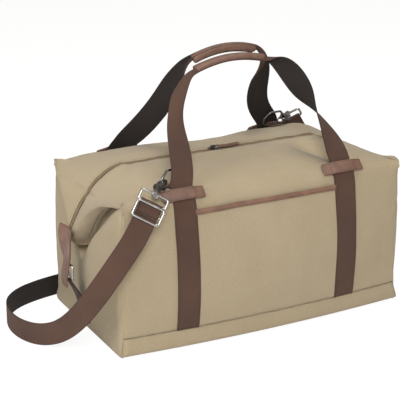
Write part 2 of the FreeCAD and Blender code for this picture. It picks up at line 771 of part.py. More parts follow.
RING = size("ring_wire")
RING_HALF = size("ring_width") / 2 - RING / 2
RING_LEAN = math.radians(18)
RING_X = -LEG_X - WEB_HALF - 6.5 + RING_HALF
RING_Y = hinge.y + 14
EYE_WALL = 1.6
LOOP_LEATHER = 2.2
ring_up = Vector(0, math.sin(RING_LEAN), math.cos(RING_LEAN))
roof_points = front_curve(-RING_X, 0, count=400)
ring_foot, roof_along, roof_normal = min(roof_points, key=lambda item: abs(item[0].y - RING_Y))
ring_lift = RING / 2 + 0.1 + EYE_WALL + GAP
ring_centre = Vector(RING_X, ring_foot.y, ring_foot.z) + roof_normal * ring_lift


def d_ring():
    depth = size("ring_depth") - RING
    corners = [(-1, 0), (1, 0), (1, 0.55), (0.5, 1), (-0.5, 1), (-1, 0.55)]
    points = [ring_centre + RIGHT_HAND * (RING_HALF * x) + ring_up * (depth * rise)
              for x, rise in corners]
    return rod(points, 5.0, RING)


def d_ring_loop():
    """Leather loop round the ring's straight bar, sewn to the roof."""
    span = size("loop_leather_width")
    start = ring_centre - RIGHT_HAND * (span / 2)
    eye = Part.makeCylinder(RING / 2 + 0.1 + EYE_WALL, span, start, RIGHT_HAND)
    hole = Part.makeCylinder(RING / 2 + 0.1, span + 2, start - RIGHT_HAND, RIGHT_HAND)
    foot = Vector(start.x, ring_foot.y, ring_foot.z) + roof_normal * GAP
    tail = foot + roof_along * 20 + roof_normal * 1.0
    rise = roof_normal * LOOP_LEATHER
    tail_face = Part.Face(polygon([foot, foot + rise, tail + rise, tail]))
    return eye.fuse(tail_face.extrude(RIGHT_HAND * span)).cut(hole).removeSplitter()


RING_SIDE = ring_centre - RIGHT_HAND * RING_HALF + ring_up * 9
HOOK_HANG = Vector(-29.5, -36.02, -5.2)     # from the ring's side to the swivel
SWIVEL = RING_SIDE + HOOK_HANG
hook_axis = (SWIVEL - RING_SIDE).normalize()
HOOK_EYE = RING_SIDE + hook_axis * 1.7
hook_length = (SWIVEL - HOOK_EYE).Length
hook_normal = (ring_up - hook_axis * ring_up.dot(hook_axis)).normalize()
hook_side = hook_normal.cross(hook_axis)
LOOP_WIRE = size("loop_wire")
LOOP_HALF = size("loop_length") / 2 - LOOP_WIRE / 2
strap_axis = Vector(-0.58, -0.25, -0.776).normalize()
bar_axis = Vector(0.793, -0.394, -0.464)
bar_axis = (bar_axis - strap_axis * bar_axis.dot(strap_axis)).normalize()
face_axis = strap_axis.cross(bar_axis)
if face_axis.y > 0:
    face_axis = face_axis * -1
CLAW = 6.6
CLAW_WIRE = 4.4
PIVOT = 17.0
PIN = 1.3
NECK = 2.4
EYE_HALF = 3.6
BARREL_END = hook_length - EYE_HALF - 0.3


def at_hook(along, side, out=0.0):
    """A point measured from the ring's wire: along the hook, to its side, out of its plane."""
    return HOOK_EYE + hook_axis * along + hook_side * side + hook_normal * out


def hook_block(along_low, along_high, side_low, side_high, half):
    corners = [at_hook(along_low, side_low, -half), at_hook(along_high, side_low, -half),
               at_hook(along_high, side_high, -half), at_hook(along_low, side_high, -half)]
    return Part.Face(polygon(corners)).extrude(hook_normal * (2 * half))


def hook_cylinder(radius, low, high):
    return Part.makeCylinder(radius, high - low, at_hook(low, 0), hook_axis)


def hook_body():
    """Claw, yoke and barrel in one casting, with the swivel stud and its head."""
    path = [(PIVOT - 1, -CLAW), (-CLAW, -CLAW), (-CLAW, CLAW), (2.0, CLAW)]
    claw = rod([at_hook(*place) for place in path], CLAW - 0.6, CLAW_WIRE, closed=False)
    yoke = hook_block(PIVOT - 4, PIVOT + 5, -CLAW - 2.6, CLAW + 2.6, 4.6)
    barrel = hook_cylinder(5.2, PIVOT + 4, BARREL_END)
    stud = hook_cylinder(NECK, BARREL_END - 1, hook_length + EYE_HALF + 1)
    head = hook_cylinder(NECK + 1.6, hook_length + EYE_HALF + 0.3, hook_length + EYE_HALF + 2.3)
    slot = hook_block(PIVOT - 6, PIVOT + 3.2, CLAW - 4.2, CLAW + 4, 2.3)
    axle = Part.makeCylinder(PIN, 14, at_hook(PIVOT, CLAW, -7), hook_normal)
    spring_bore = hook_cylinder(2.4, PIVOT + 1, PIVOT + 15)
    body = claw.fuse([yoke, barrel, stud, head])
    return body.cut(slot).cut(axle).cut(spring_bore).removeSplitter()


def hook_gate():
    """Sprung gate between the yoke and the claw's tip."""
    eye = Part.makeCylinder(2.9, 4.0, at_hook(PIVOT, CLAW, -2.0), hook_normal)
    arm = hook_block(2.6, PIVOT, CLAW - 1.6, CLAW + 1.6, 2.0)
    hole = Part.makeCylinder(PIN + 0.05, 8, at_hook(PIVOT, CLAW, -4), hook_normal)
    return eye.fuse(arm).cut(hole).removeSplitter()


def gate_pin():
    return Part.makeCylinder(PIN, 9.2, at_hook(PIVOT, CLAW, -4.6), hook_normal)


def gate_spring():
    return hook_cylinder(2.1, PIVOT + 3.6, PIVOT + 14.5).cut(hook_cylinder(1.3, PIVOT, PIVOT + 18))


def swivel_loop():
    """Rectangular loop for the webbing, with an eye on its upper bar for the stud."""
    depth = size("loop_depth")
    points = [SWIVEL - bar_axis * LOOP_HALF, SWIVEL + bar_axis * LOOP_HALF,
              SWIVEL + bar_axis * LOOP_HALF + strap_axis * depth,
              SWIVEL - bar_axis * LOOP_HALF + strap_axis * depth]
    loop = rod(points, 4.0, LOOP_WIRE)
    eye = Part.makeCylinder(5.4, 2 * EYE_HALF, SWIVEL - hook_axis * EYE_HALF, hook_axis)
    hole = Part.makeCylinder(NECK + 0.06, 30, SWIVEL - hook_axis * 15, hook_axis)
    return loop.fuse(eye).cut(hole).removeSplitter()


def at_strap(along, across, out=0.0):
    """A point measured from the swivel: down the strap, across it, out of its face."""
    return SWIVEL + strap_axis * along + bar_axis * across + face_axis * out


STRAP = size("strap_thickness")
STRAP_HALF = size("strap_width") / 2
LOWER_BAR = size("loop_depth")
CENTRE_BAR = LOWER_BAR + size("adjuster_depth") / 2 + 2
TURN_GAP = LOOP_WIRE / 2 + 0.35


def stadium(first, last, radius):
    """Belt-shaped block round two bars across the strap."""
    low = at_strap(first, -STRAP_HALF)
    high = at_strap(last, -STRAP_HALF)
    length = 2 * STRAP_HALF
    corners = [low + face_axis * radius, high + face_axis * radius,
               high - face_axis * radius, low - face_axis * radius]
    block = Part.Face(polygon(corners)).extrude(bar_axis * length)
    ends = [Part.makeCylinder(radius, length, point, bar_axis) for point in (low, high)]
    return block.fuse(ends)


def strap_turn():
    """Webbing turned round the loop's lower bar and the next bar, then sewn."""
    outer = stadium(LOWER_BAR, CENTRE_BAR, TURN_GAP + STRAP)
    return outer.cut(stadium(LOWER_BAR, CENTRE_BAR, TURN_GAP)).removeSplitter()


def strap_adjuster():
    """Slide frame in front of the webbing, with its centre bar set back inside the turn."""
    half = size("adjuster_length") / 2 - LOOP_WIRE / 2
    reach = size("adjuster_depth") / 2
    out = TURN_GAP + STRAP + LOOP_WIRE / 2 + 0.3
    points = [at_strap(CENTRE_BAR + along * reach, across * half, out)
              for along, across in ((-1, -1), (1, -1), (1, 1), (-1, 1))]
    frame = rod(points, 5.0, LOOP_WIRE)
    bar = Part.makeCylinder(LOOP_WIRE / 2, 2 * half, at_strap(CENTRE_BAR, -half), bar_axis)
    posts = [Part.makeCylinder(LOOP_WIRE / 2, out, at_strap(CENTRE_BAR, sign * half), face_axis)
             for sign in (-1, 1)]
    ends = [Part.makeSphere(LOOP_WIRE / 2, at_strap(CENTRE_BAR, sign * half)) for sign in (-1, 1)]
    return frame.fuse([bar] + posts + ends).removeSplitter()


for name, place in (("front", lambda shape: shape), ("back", turned)):
    put("d_ring_" + name, place(d_ring()))
    put("d_ring_loop_" + name, place(d_ring_loop()))
    put("hook_body_" + name, place(hook_body()))
    put("hook_gate_" + name, place(hook_gate()))
    put("gate_pin_" + name, place(gate_pin()))
    put("gate_spring_" + name, place(gate_spring()))
    put("swivel_loop_" + name, place(swivel_loop()))
    put("strap_turn_" + name, place(strap_turn()))
put("strap_adjuster", strap_adjuster())


# Shoulder strap --------------------------------------------------------------------------

STRAP_START = at_strap(CENTRE_BAR + TURN_GAP + STRAP + 3 * GAP, 0)
STRAP_END = Vector(-STRAP_START.x, -STRAP_START.y, STRAP_START.z)
EDGE = STRAP_HALF + GAP
ROUTE = [
    (STRAP_START, bar_axis),
    (Vector(-245, -163, 226), bar_axis),
    (Vector(-263, -167, 204), bar_axis),
    (Vector(-287, -166, 174), Vector(0.75, -0.45, -0.48)),
    (Vector(-313, -151, 128), Vector(0.62, -0.50, -0.60)),
    (Vector(-333, -118, 78), Vector(0.40, -0.40, -0.82)),
    (Vector(-350, -80, 42), Vector(0.2, -0.2, -0.96)),
    (Vector(-369, -40, 24), Vector(0, -0.05, -1)),
    (Vector(-386, 3, EDGE), Vector(0, 0, -1)),
    (Vector(-391, 50, EDGE), Vector(0, 0, -1)),
    (Vector(-379, 98, EDGE), Vector(0, 0, -1)),
    (Vector(-346, 132, EDGE), Vector(0, 0, -1)),
    (Vector(-300, 150, EDGE), Vector(0, 0, -1)),
    (Vector(-246, 160, EDGE), Vector(0, 0, -1)),
    (Vector(-188, 166, EDGE), Vector(0, 0, -1)),
    (Vector(-128, 172, EDGE), Vector(0, 0, -1)),
    (Vector(-68, 171, EDGE), Vector(0, 0, -1)),
    (Vector(-8, 174, EDGE), Vector(0, 0, -1)),
    (Vector(52, 172, EDGE), Vector(0, 0, -1)),
    (Vector(110, 177, EDGE), Vector(0, 0, -1)),
    (Vector(162, 182, 22), Vector(0.05, 0, -1)),
    (Vector(205, 186, 36), Vector(0.3, 0.1, -0.95)),
    (Vector(237, 188, 68), Vector(0.7, 0.3, -0.6)),
    (Vector(252, 187, 112), Vector(0.9, 0.4, -0.2)),
    (Vector(255, 180, 158), Vector(0.9, 0.42, 0)),
    (Vector(250, 170, 203), Vector(0.85, -0.42, 0.35)),
    (Vector(242, 162, 229), Vector(bar_axis.x, bar_axis.y, -bar_axis.z)),
    (STRAP_END, Vector(bar_axis.x, bar_axis.y, -bar_axis.z)),
]


def shoulder_strap():
    grids = [[], []]
    for index, (point, width) in enumerate(ROUTE):
        before = ROUTE[max(index - 1, 0)][0]
        after = ROUTE[min(index + 1, len(ROUTE) - 1)][0]
        along = (after - before).normalize()
        across = (width - along * width.dot(along)).normalize()
        out = along.cross(across)
        for grid, depth in zip(grids, (STRAP / 2, -STRAP / 2)):
            grid.append([point + across * (sign * STRAP_HALF) + out * depth for sign in (-1, 1)])
    return cloth(grids[0], grids[1])


def report_route(solid):
    """Prints the strap's bends, and its volume against its section times its length."""
    points = [point for point, _ in ROUTE]
    runs = [(points[i + 1] - points[i]).Length for i in range(len(points) - 1)]
    radii = []
    for index in range(1, len(points) - 1):
        turn = (points[index] - points[index - 1]).getAngle(points[index + 1] - points[index])
        radii.append(0.45 * min(runs[index - 1], runs[index]) / math.tan(turn / 2))
    curve = Part.BSplineCurve()
    curve.buildFromPoles(points, False, 3)
    length = curve.length()
    print("strap length %.0f mm, runs added up %.0f mm" % (length, sum(runs)))
    print("strap radii", [round(radius) for radius in radii])
    print("strap volume over section times length %.3f"
          % (solid.Volume / (size("strap_width") * STRAP * length)))


strap_solid = shoulder_strap()
report_route(strap_solid)
put("shoulder_strap", strap_solid)
PLACES = [("swivel", HOOK_EYE, hook_axis), ("gate", at_hook(PIVOT, CLAW), hook_normal),
          ("ring", ring_centre, RIGHT_HAND), ("exit", STRAP_START, strap_axis)]
for label, point, axis in PLACES:
    print(label, [round(v, 3) for v in point], [round(v, 5) for v in axis])
print("link", [SLIDER_X, 0, LINK_Z], "buckle", [-BUCKLE_X, 0, BUCKLE_Z - BAR])
print("pieces", len(pieces))


# Checks and files ------------------------------------------------------------------------

doc.recompute()
for item in doc.Objects:
    if "Invalid" in item.State or "Error" in item.State:
        raise RuntimeError(item.Name + " failed")
for piece in pieces:
    if piece.Shape.isNull() or not piece.Shape.isValid():
        raise RuntimeError(piece.Label + " has no valid shape")
for piece in pieces:
    piece.Shape.exportStep("parts/%s.step" % piece.Label)
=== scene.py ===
import math

import bmesh
import bpy
import numpy as np
from bpy.props import FloatProperty, FloatVectorProperty, PointerProperty
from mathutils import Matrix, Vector, noise
from mathutils.bvhtree import BVHTree


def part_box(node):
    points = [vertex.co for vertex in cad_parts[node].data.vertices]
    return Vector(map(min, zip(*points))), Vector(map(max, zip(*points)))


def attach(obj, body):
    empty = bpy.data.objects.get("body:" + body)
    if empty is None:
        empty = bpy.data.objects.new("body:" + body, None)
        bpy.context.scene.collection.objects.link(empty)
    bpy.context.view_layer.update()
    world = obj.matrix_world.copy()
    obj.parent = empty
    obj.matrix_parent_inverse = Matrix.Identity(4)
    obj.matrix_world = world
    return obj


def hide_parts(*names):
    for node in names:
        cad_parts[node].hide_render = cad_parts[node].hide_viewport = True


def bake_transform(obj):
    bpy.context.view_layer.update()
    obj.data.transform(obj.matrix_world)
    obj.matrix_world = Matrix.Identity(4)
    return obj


# Looks of a canvas weekender bag: cloth, webbing, leather, zip, hardware and stage.
# Shapes are worked out in millimetres and written to the meshes in metres. X runs along the
# bag, -Y is its front and +Z is up.

bl_info = {
    "name": "Canvas weekender bag",
    "version": (1, 0, 0),
    "blender": (4, 5, 0),
    "location": "View3D > Sidebar > Weekender",
    "description": "Dresses the bag's frame in canvas, webbing, leather and metal",
    "category": "Object",
}

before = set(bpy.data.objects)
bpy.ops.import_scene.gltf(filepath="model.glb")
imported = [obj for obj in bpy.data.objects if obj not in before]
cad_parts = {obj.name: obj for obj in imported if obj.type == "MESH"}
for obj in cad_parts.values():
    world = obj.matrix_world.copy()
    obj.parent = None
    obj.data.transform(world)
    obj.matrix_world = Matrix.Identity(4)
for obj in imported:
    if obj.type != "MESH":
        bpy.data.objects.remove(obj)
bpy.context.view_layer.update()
MM = 0.001


def low(node, axis):
    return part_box(node)[0][axis] / MM


def high(node, axis):
    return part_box(node)[1][axis] / MM


# Sizes and colours -----------------------------------------------------------------------

HALF_LENGTH = high("end_panel_right", 0)
HALF_WIDTH = high("end_panel_right", 1)
BAND = high("base_panel", 2)
RIDGE = high("front_panel", 2)
TIP_X = high("front_panel", 0)
LEG_X = (low("front_leg_right", 0) + high("front_leg_right", 0)) / 2
WEB_HALF = (high("front_leg_right", 0) - low("front_leg_right", 0)) / 2
TAB_LOW = low("handle_tab_front_right", 2)
POCKET_TOP = high("front_pocket_panel", 2)
BUCKLE_Z = (low("end_buckle_left", 2) + high("end_buckle_left", 2)) / 2


def length_of(name, text, value):
    return FloatProperty(name=name, description=text, default=value, unit="LENGTH",
                         subtype="DISTANCE", precision=4)


def colour_of(name, text, value):
    return FloatVectorProperty(name=name, description=text, default=value, size=3,
                               min=0.0, max=1.0, subtype="COLOR")


class BagSizes(bpy.types.PropertyGroup):
    """Sizes that a maker would change."""
    shoulder: length_of("Shoulder", "Height of the peaked corners", 0.260)
    bulge: length_of("Bulge", "How far the middle of the front stands forward", 0.012)
    wing_drop: length_of("Wing drop", "Zip tip below the ridge", 0.105)
    wing_start: length_of("Wing start", "Where the zip turns down", 0.190)
    hood_drop: length_of("Hood drop", "Middle of the folded edge below the shoulder", 0.102)
    cloth: length_of("Canvas", "Canvas with its backing", 0.0018)
    webbing: length_of("Webbing", "Thickness of the webbing", 0.0024)
    stitch: length_of("Stitch", "Length of a stitch and its gap", 0.0036)
    thread: length_of("Thread", "Thickness of the thread", 0.0009)
    tooth: length_of("Zip tooth", "Spacing of the zip's teeth", 0.0016)
    wrinkle: length_of("Wrinkles", "Depth of the soft folds", 0.0022)


class BagFinishes(bpy.types.PropertyGroup):
    """Colours of the cloth, leather and metal."""
    canvas: colour_of("Canvas", "Washed cotton canvas", (0.325, 0.262, 0.170))
    lining: colour_of("Lining", "Thin lining cloth", (0.25, 0.20, 0.14))
    webbing: colour_of("Webbing", "Dark brown webbing", (0.070, 0.032, 0.019))
    leather: colour_of("Leather", "Brown leather", (0.135, 0.069, 0.046))
    tape: colour_of("Zip tape", "Woven zip tape", (0.30, 0.22, 0.13))
    teeth: colour_of("Zip teeth", "Coil of the zip", (0.20, 0.14, 0.085))
    dark_metal: colour_of("Dark metal", "Dark nickel plating", (0.20, 0.19, 0.185))
    bright_metal: colour_of("Bright metal", "Polished nickel plating", (0.46, 0.45, 0.44))
    floor: colour_of("Floor", "Plain studio floor", (0.86, 0.86, 0.86))


def sizes():
    return bpy.context.scene.bag_sizes


def finishes():
    return bpy.context.scene.bag_finishes


# Curves and meshes -----------------------------------------------------------------------

def smooth(value, start, stop):
    """0 before start, 1 after stop, and a soft slope between."""
    share = np.clip((np.asarray(value, float) - start) / (stop - start), 0, 1)
    return share * share * (3 - 2 * share)


def unit(vectors):
    return vectors / np.maximum(np.linalg.norm(vectors, axis=-1, keepdims=True), 1e-9)


def spline(rows, count):
    """Rows along the smooth cubic curve that the given rows pull towards, ends included."""
    rows = np.array(rows, float)
    degree = min(3, len(rows) - 1)
    spans = len(rows) - degree
    knots = np.concatenate([np.zeros(degree), np.arange(spans + 1), np.full(degree, spans)])
    result = []
    for place in np.linspace(0, spans, count):
        span = min(int(place), spans - 1) + degree
        local = [rows[span - degree + index] for index in range(degree + 1)]
        for level in range(1, degree + 1):
            for index in range(degree, level - 1, -1):
                start = knots[span - degree + index]
                stop = knots[span + 1 + index - level]
                share = (place - start) / (stop - start)
                local[index] = (1 - share) * local[index - 1] + share * local[index]
        result.append(local[degree])
    return np.array(result)


def distances(points):
    """How far along a polyline each of its points is."""
    return np.concatenate([[0], np.cumsum(np.linalg.norm(np.diff(points, axis=0), axis=1))])


def resampled(rows, count):
    """The same polyline, its first three columns a place, with a given number of points."""
    travelled = distances(rows[:, :3])
    places = np.linspace(0, travelled[-1], count)
    return np.stack([np.interp(places, travelled, column) for column in rows.T], axis=1)


def evenly(rows, step):
    """The same polyline with points one step apart."""
    rows = np.array(rows, float)
    return resampled(rows, max(2, int(round(distances(rows[:, :3])[-1] / step)) + 1))


def tangents(points):
    return unit(np.gradient(np.array(points, float), axis=0))


def make_mesh(name, points, faces, finish, uvs=None):
    """Object at the origin from points in millimetres, with smooth shading."""
    data = bpy.data.meshes.new(name)
    data.from_pydata([tuple(p) for p in np.array(points) * MM], [], faces)
    data.validate()
    if uvs is not None:
        layer = data.uv_layers.new(name="UVMap")
        corners = np.zeros(len(data.loops), np.int32)
        data.loops.foreach_get("vertex_index", corners)
        layer.data.foreach_set("uv", np.array(uvs, np.float32)[corners].ravel())
    data.materials.append(finish)
    data.shade_smooth()
    piece = bpy.data.objects.new(name, data)
    bpy.context.scene.collection.objects.link(piece)
    return piece


def grid_faces(rows, columns, start=0, flip=False, around=False):
    faces = []
    for row in range(rows - 1):
        for column in range(columns if around else columns - 1):
            after = (column + 1) % columns
            face = (start + row * columns + column, start + row * columns + after,
                    start + (row + 1) * columns + after, start + (row + 1) * columns + column)
            faces.append(face[::-1] if flip else face)
    return faces


def fixed(piece):
    """The piece with its modifiers applied, and no modifier left on it."""
    graph = bpy.context.evaluated_depsgraph_get()
    data = bpy.data.meshes.new_from_object(piece.evaluated_get(graph))
    piece.modifiers.clear()
    old = piece.data
    piece.data = data
    bpy.data.meshes.remove(old)
    return piece


def outward(piece):
    """Makes every closed shell of the piece face outwards."""
    shape = bmesh.new()
    shape.from_mesh(piece.data)
    bmesh.ops.recalc_face_normals(shape, faces=shape.faces)
    shape.to_mesh(piece.data)
    shape.free()
    return piece


def place_of(piece):
    co = np.zeros(len(piece.data.vertices) * 3, np.float32)
    piece.data.vertices.foreach_get("co", co)
    return co.reshape(-1, 3).astype(float) / MM


def replace_places(piece, points):
    piece.data.vertices.foreach_set("co", (points * MM).astype(np.float32).ravel())
    piece.data.update()


ACROSS = np.array([-1, -0.975, -0.92, -0.8, -0.6, -0.36, -0.12, 0.12, 0.36, 0.6, 0.8, 0.92, 0.975, 1])


def band_frame(rows):
    """Middle line, width and face directions, half width and rolled radius of a band's rows."""
    rows = np.array(rows, float)
    along = tangents(rows[:, :3])
    width = unit(rows[:, 3:6] - along * np.sum(rows[:, 3:6] * along, axis=1, keepdims=True))
    half = rows[:, 6:7]
    radius = 2 * half / (np.maximum(rows[:, 7:8], 1e-3) * math.pi)
    return rows[:, :3], width, np.cross(width, along), half, radius


def band(name, rows, thickness, finish, edge=0.35, ends=True):
    """Flat flexible band. A row is x, y, z, width direction (3), half width, curl and swell.

    Curl rolls the band across its width, from 0, flat, to 1, a half tube. Swell thickens it.
    """
    rows = np.array(rows, float)
    centres, width, normal, half, radius = band_frame(rows)
    turn = ACROSS[None, :] * half / radius
    profile = np.where(np.abs(ACROSS) > 0.99, edge, np.where(np.abs(ACROSS) > 0.95, 0.85, 1.0))
    lift = profile[None, :] * rows[:, 8:9] * thickness / 2
    if ends:
        lift[0] *= edge
        lift[-1] *= edge
    sides = []
    for sign in (1, -1):
        reach = radius * np.sin(turn) + sign * lift * np.sin(turn)
        rise = radius * (np.cos(turn) - 1) + sign * lift * np.cos(turn)
        sides.append(centres[:, None] + width[:, None] * reach[..., None]
                     + normal[:, None] * rise[..., None])
    count, across = sides[0].shape[:2]
    points = np.concatenate([sides[0].reshape(-1, 3), sides[1].reshape(-1, 3)])
    size = count * across
    faces = grid_faces(count, across) + grid_faces(count, across, size, flip=True)
    for row in range(count - 1):
        for column in (0, across - 1):
            a, b = row * across + column, (row + 1) * across + column
            faces.append((a, b, b + size, a + size))
    for column in range(across - 1):
        for row in (0, count - 1):
            a = row * across + column
            faces.append((a, a + 1, a + 1 + size, a + size))
    u = np.broadcast_to((ACROSS + 1) / 2, (count, across))
    v = np.broadcast_to(distances(centres)[:, None] * MM, (count, across))
    uv = np.stack([u, v], axis=-1).reshape(-1, 2)
    piece = make_mesh(name, points, faces, finish, np.concatenate([uv, uv + (1, 0)]))
    return outward(piece)


def band_edge(rows, inset, lift, side):
    """Points along a band, in from its edge on one side and above its face."""
    centres, width, normal, half, radius = band_frame(rows)
    turn = side * np.maximum(half - inset, 0.5) / radius
    return (centres + width * ((radius + lift) * np.sin(turn))
            + normal * ((radius + lift) * np.cos(turn) - radius))


def tube(name, sections, finish, caps=True):
    """Closed skin through rings of points."""
    sections = np.array(sections, float)
    count, around = sections.shape[:2]
    points = list(sections.reshape(-1, 3))
    faces = grid_faces(count, around, around=True)
    if caps:
        faces.append(tuple(range(around)))
        faces.append(tuple(range((count - 1) * around, count * around)))
    return outward(make_mesh(name, points, faces, finish))


def settle(piece, body, nodes=()):
    """Seats a finished piece on its body and what it stands for."""
    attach(piece, body)
    if nodes:
        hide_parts(*nodes)
    return piece


# Materials -------------------------------------------------------------------------------

def add_node(tree, kind, inputs=None, **settings):
    """Adds a node; each input is given a value or linked to another node's socket."""
    made = tree.nodes.new(kind)
    for key, value in settings.items():
        setattr(made, key, value)
    for key, value in (inputs or {}).items():
        if isinstance(value, bpy.types.NodeSocket):
            tree.links.new(value, made.inputs[key])
        else:
            made.inputs[key].default_value = value
    return made


class Finish:
    """A material and short calls that add its nodes."""

    def __init__(self, name, colour, roughness, metallic=0.0):
        self.data = bpy.data.materials.new(name)
        self.data.use_nodes = True
        self.tree = self.data.node_tree
        self.shader = self.tree.nodes["Principled BSDF"]
        self.shader.inputs["Base Color"].default_value = (*colour, 1)
        self.shader.inputs["Roughness"].default_value = roughness
        self.shader.inputs["Metallic"].default_value = metallic
        self.place = self.tree.nodes.new("ShaderNodeTexCoord")

    def node(self, kind, inputs=None, **settings):
        return add_node(self.tree, kind, inputs, **settings)

    def scaled(self, source, scale):
        return self.node("ShaderNodeMapping", {"Vector": self.place.outputs[source],
                                               "Scale": scale}).outputs["Vector"]

    def noise(self, vector, scale, detail=3.0, roughness=0.55):
        return self.node("ShaderNodeTexNoise", {"Vector": vector, "Scale": scale, "Detail": detail,
                                                "Roughness": roughness}).outputs["Fac"]

    def wave(self, vector, scale, direction):
        return self.node("ShaderNodeTexWave", {"Vector": vector, "Scale": scale, "Distortion": 0.6,
                                               "Detail": 1.0, "Detail Scale": 1.5},
                         bands_direction=direction).outputs["Fac"]

    def math(self, operation, a, b):
        return self.node("ShaderNodeMath", {0: a, 1: b}, operation=operation).outputs[0]

    def range(self, value, low_in, high_in, low_out, high_out):
        return self.node("ShaderNodeMapRange", {"Value": value, 1: low_in, 2: high_in, 3: low_out,
                                                4: high_out}).outputs[0]

    def mix(self, share, first, second):
        return self.node("ShaderNodeMix", {0: share, 6: first, 7: second},
                         data_type="RGBA").outputs[2]

    def colour(self, socket):
        self.tree.links.new(socket, self.shader.inputs["Base Color"])

    def roughness(self, socket):
        self.tree.links.new(socket, self.shader.inputs["Roughness"])

    def bump(self, height, distance, strength=1.0):
        made = self.node("ShaderNodeBump", {"Height": height, "Distance": distance,
                                            "Strength": strength})
        self.tree.links.new(made.outputs["Normal"], self.shader.inputs["Normal"])


def tone(colour, factor):
    return (*[min(1.0, channel * factor) for channel in colour], 1)


made_finishes = {}


def once(maker):
    """Makes a material the first time it is asked for."""
    def ask():
        if maker.__name__ not in made_finishes:
            made_finishes[maker.__name__] = maker().data
        return made_finishes[maker.__name__]
    return ask


@once
def canvas():
    """Plain-woven cotton: two sets of threads, slubs and washed patches."""
    colour = tuple(finishes().canvas)
    made = Finish("washed_canvas", colour, 0.92)
    made.shader.inputs["Sheen Weight"].default_value = 0.12
    made.shader.inputs["Sheen Roughness"].default_value = 0.5
    cloth = made.scaled("UV", (1, 1, 1))
    warp = made.wave(cloth, 260, "X")
    weft = made.wave(cloth, 260, "Y")
    weave = made.math("MAXIMUM", warp, weft)
    slub_along = made.noise(made.scaled("UV", (160, 900, 1)), 1.0, 3.0)
    slub_up = made.noise(made.scaled("UV", (900, 160, 1)), 1.0, 3.0)
    slubs = made.math("ADD", slub_along, slub_up)
    patches = made.noise(made.place.outputs["Object"], 9.0, 4.0, 0.6)
    warm = made.mix(made.range(patches, 0.35, 0.7, 0, 1),
                    (colour[0] * 0.95, colour[1] * 0.92, colour[2] * 0.84, 1), tone(colour, 1.06))
    fine = made.mix(made.range(slubs, 0.75, 1.25, 0, 1), tone(colour, 0.80), tone(colour, 1.10))
    made.colour(made.mix(0.5, warm, fine))
    height = made.math("ADD", made.math("MULTIPLY", weave, 0.5), slubs)
    made.bump(height, 0.0006, 0.75)
    return made


@once
def lining():
    colour = tuple(finishes().lining)
    made = Finish("lining_cloth", colour, 0.8)
    threads = made.wave(made.place.outputs["Object"], 300, "DIAGONAL")
    made.colour(made.mix(threads, tone(colour, 0.9), tone(colour, 1.1)))
    made.bump(threads, 0.0003)
    return made


@once
def webbing():
    """Heavy webbing: ribs, fine cords, a tight selvedge, and painted shade on the inner face."""
    colour = tuple(finishes().webbing)
    made = Finish("brown_webbing", colour, 0.85)
    made.shader.inputs["Sheen Weight"].default_value = 0.02
    made.shader.inputs["Sheen Roughness"].default_value = 0.45
    ribs = made.wave(made.scaled("UV", (1, 1, 1)), 170, "Y")
    cords = made.wave(made.scaled("UV", (1, 0.0, 1)), 7.5, "X")
    weave = made.math("MULTIPLY", ribs, cords)
    fuzz = made.noise(made.scaled("UV", (30, 900, 1)), 1.0, 3.0)
    place = made.node("ShaderNodeSeparateXYZ", {0: made.place.outputs["UV"]}).outputs[0]
    across = made.math("FRACT", place, 0.0)
    # UV past 1 is the band's inner face, the side that is painted near black as painted shade.
    inner = made.math("GREATER_THAN", place, 1.0)
    off_centre = made.math("ABSOLUTE", made.math("SUBTRACT", across, 0.5), 0.0)
    selvedge = made.range(off_centre, 0.43, 0.47, 0, 1)
    patches = made.noise(made.place.outputs["Object"], 14.0, 3.0)
    ground = made.mix(made.range(patches, 0.3, 0.7, 0, 1), tone(colour, 0.85), tone(colour, 1.2))
    dark = made.mix(made.math("MULTIPLY", made.range(fuzz, 0.35, 0.7, 0, 1), 0.45), ground,
                    tone(colour, 0.55))
    outer = made.mix(made.math("MULTIPLY", selvedge, 0.4), dark, tone(colour, 0.45))
    # The inner face takes painted shade: the colour is dropped to near black there.
    made.colour(made.mix(inner, outer, tone(colour, 0.12)))
    made.bump(made.math("ADD", weave, made.math("MULTIPLY", fuzz, 0.6)), 0.0007, 0.8)
    return made


def leather_finish(name, colour, roughness):
    """Grained leather: pebbles, creases, rubbed patches and a soft shine."""
    made = Finish(name, colour, roughness)
    made.shader.inputs["Coat Weight"].default_value = 0.12
    made.shader.inputs["Coat Roughness"].default_value = 0.35
    place = made.place.outputs["Object"]
    pebbles = made.node("ShaderNodeTexVoronoi", {"Vector": place, "Scale": 620.0},
                        feature="DISTANCE_TO_EDGE").outputs["Distance"]
    grain = made.noise(place, 900.0, 4.0)
    rubbed = made.noise(place, 45.0, 5.0, 0.62)
    made.colour(made.mix(made.range(rubbed, 0.35, 0.68, 0, 1), tone(colour, 0.82),
                         tone(colour, 1.28)))
    made.roughness(made.range(rubbed, 0.3, 0.7, roughness + 0.1, roughness - 0.08))
    height = made.math("ADD", made.range(pebbles, 0.0, 0.25, 0, 1), made.math("MULTIPLY", grain, 0.4))
    made.bump(height, 0.0003, 0.6)
    return made


@once
def leather():
    return leather_finish("brown_leather", tuple(finishes().leather), 0.48)


@once
def binding_leather():
    colour = tuple(channel * factor for channel, factor
                   in zip(finishes().leather, (1.25, 1.25, 1.2)))
    return leather_finish("binding_leather", colour, 0.42)


@once
def zip_tape():
    colour = tuple(finishes().tape)
    made = Finish("zip_tape_weave", colour, 0.8)
    chevrons = made.wave(made.place.outputs["Object"], 330, "DIAGONAL")
    made.colour(made.mix(chevrons, tone(colour, 0.75), tone(colour, 1.15)))
    made.bump(chevrons, 0.0003)
    return made


@once
def zip_teeth():
    colour = tuple(finishes().teeth)
    made = Finish("zip_coil", colour, 0.45)
    made.colour(made.mix(made.noise(made.place.outputs["Object"], 300.0), tone(colour, 0.8),
                         tone(colour, 1.2)))
    return made


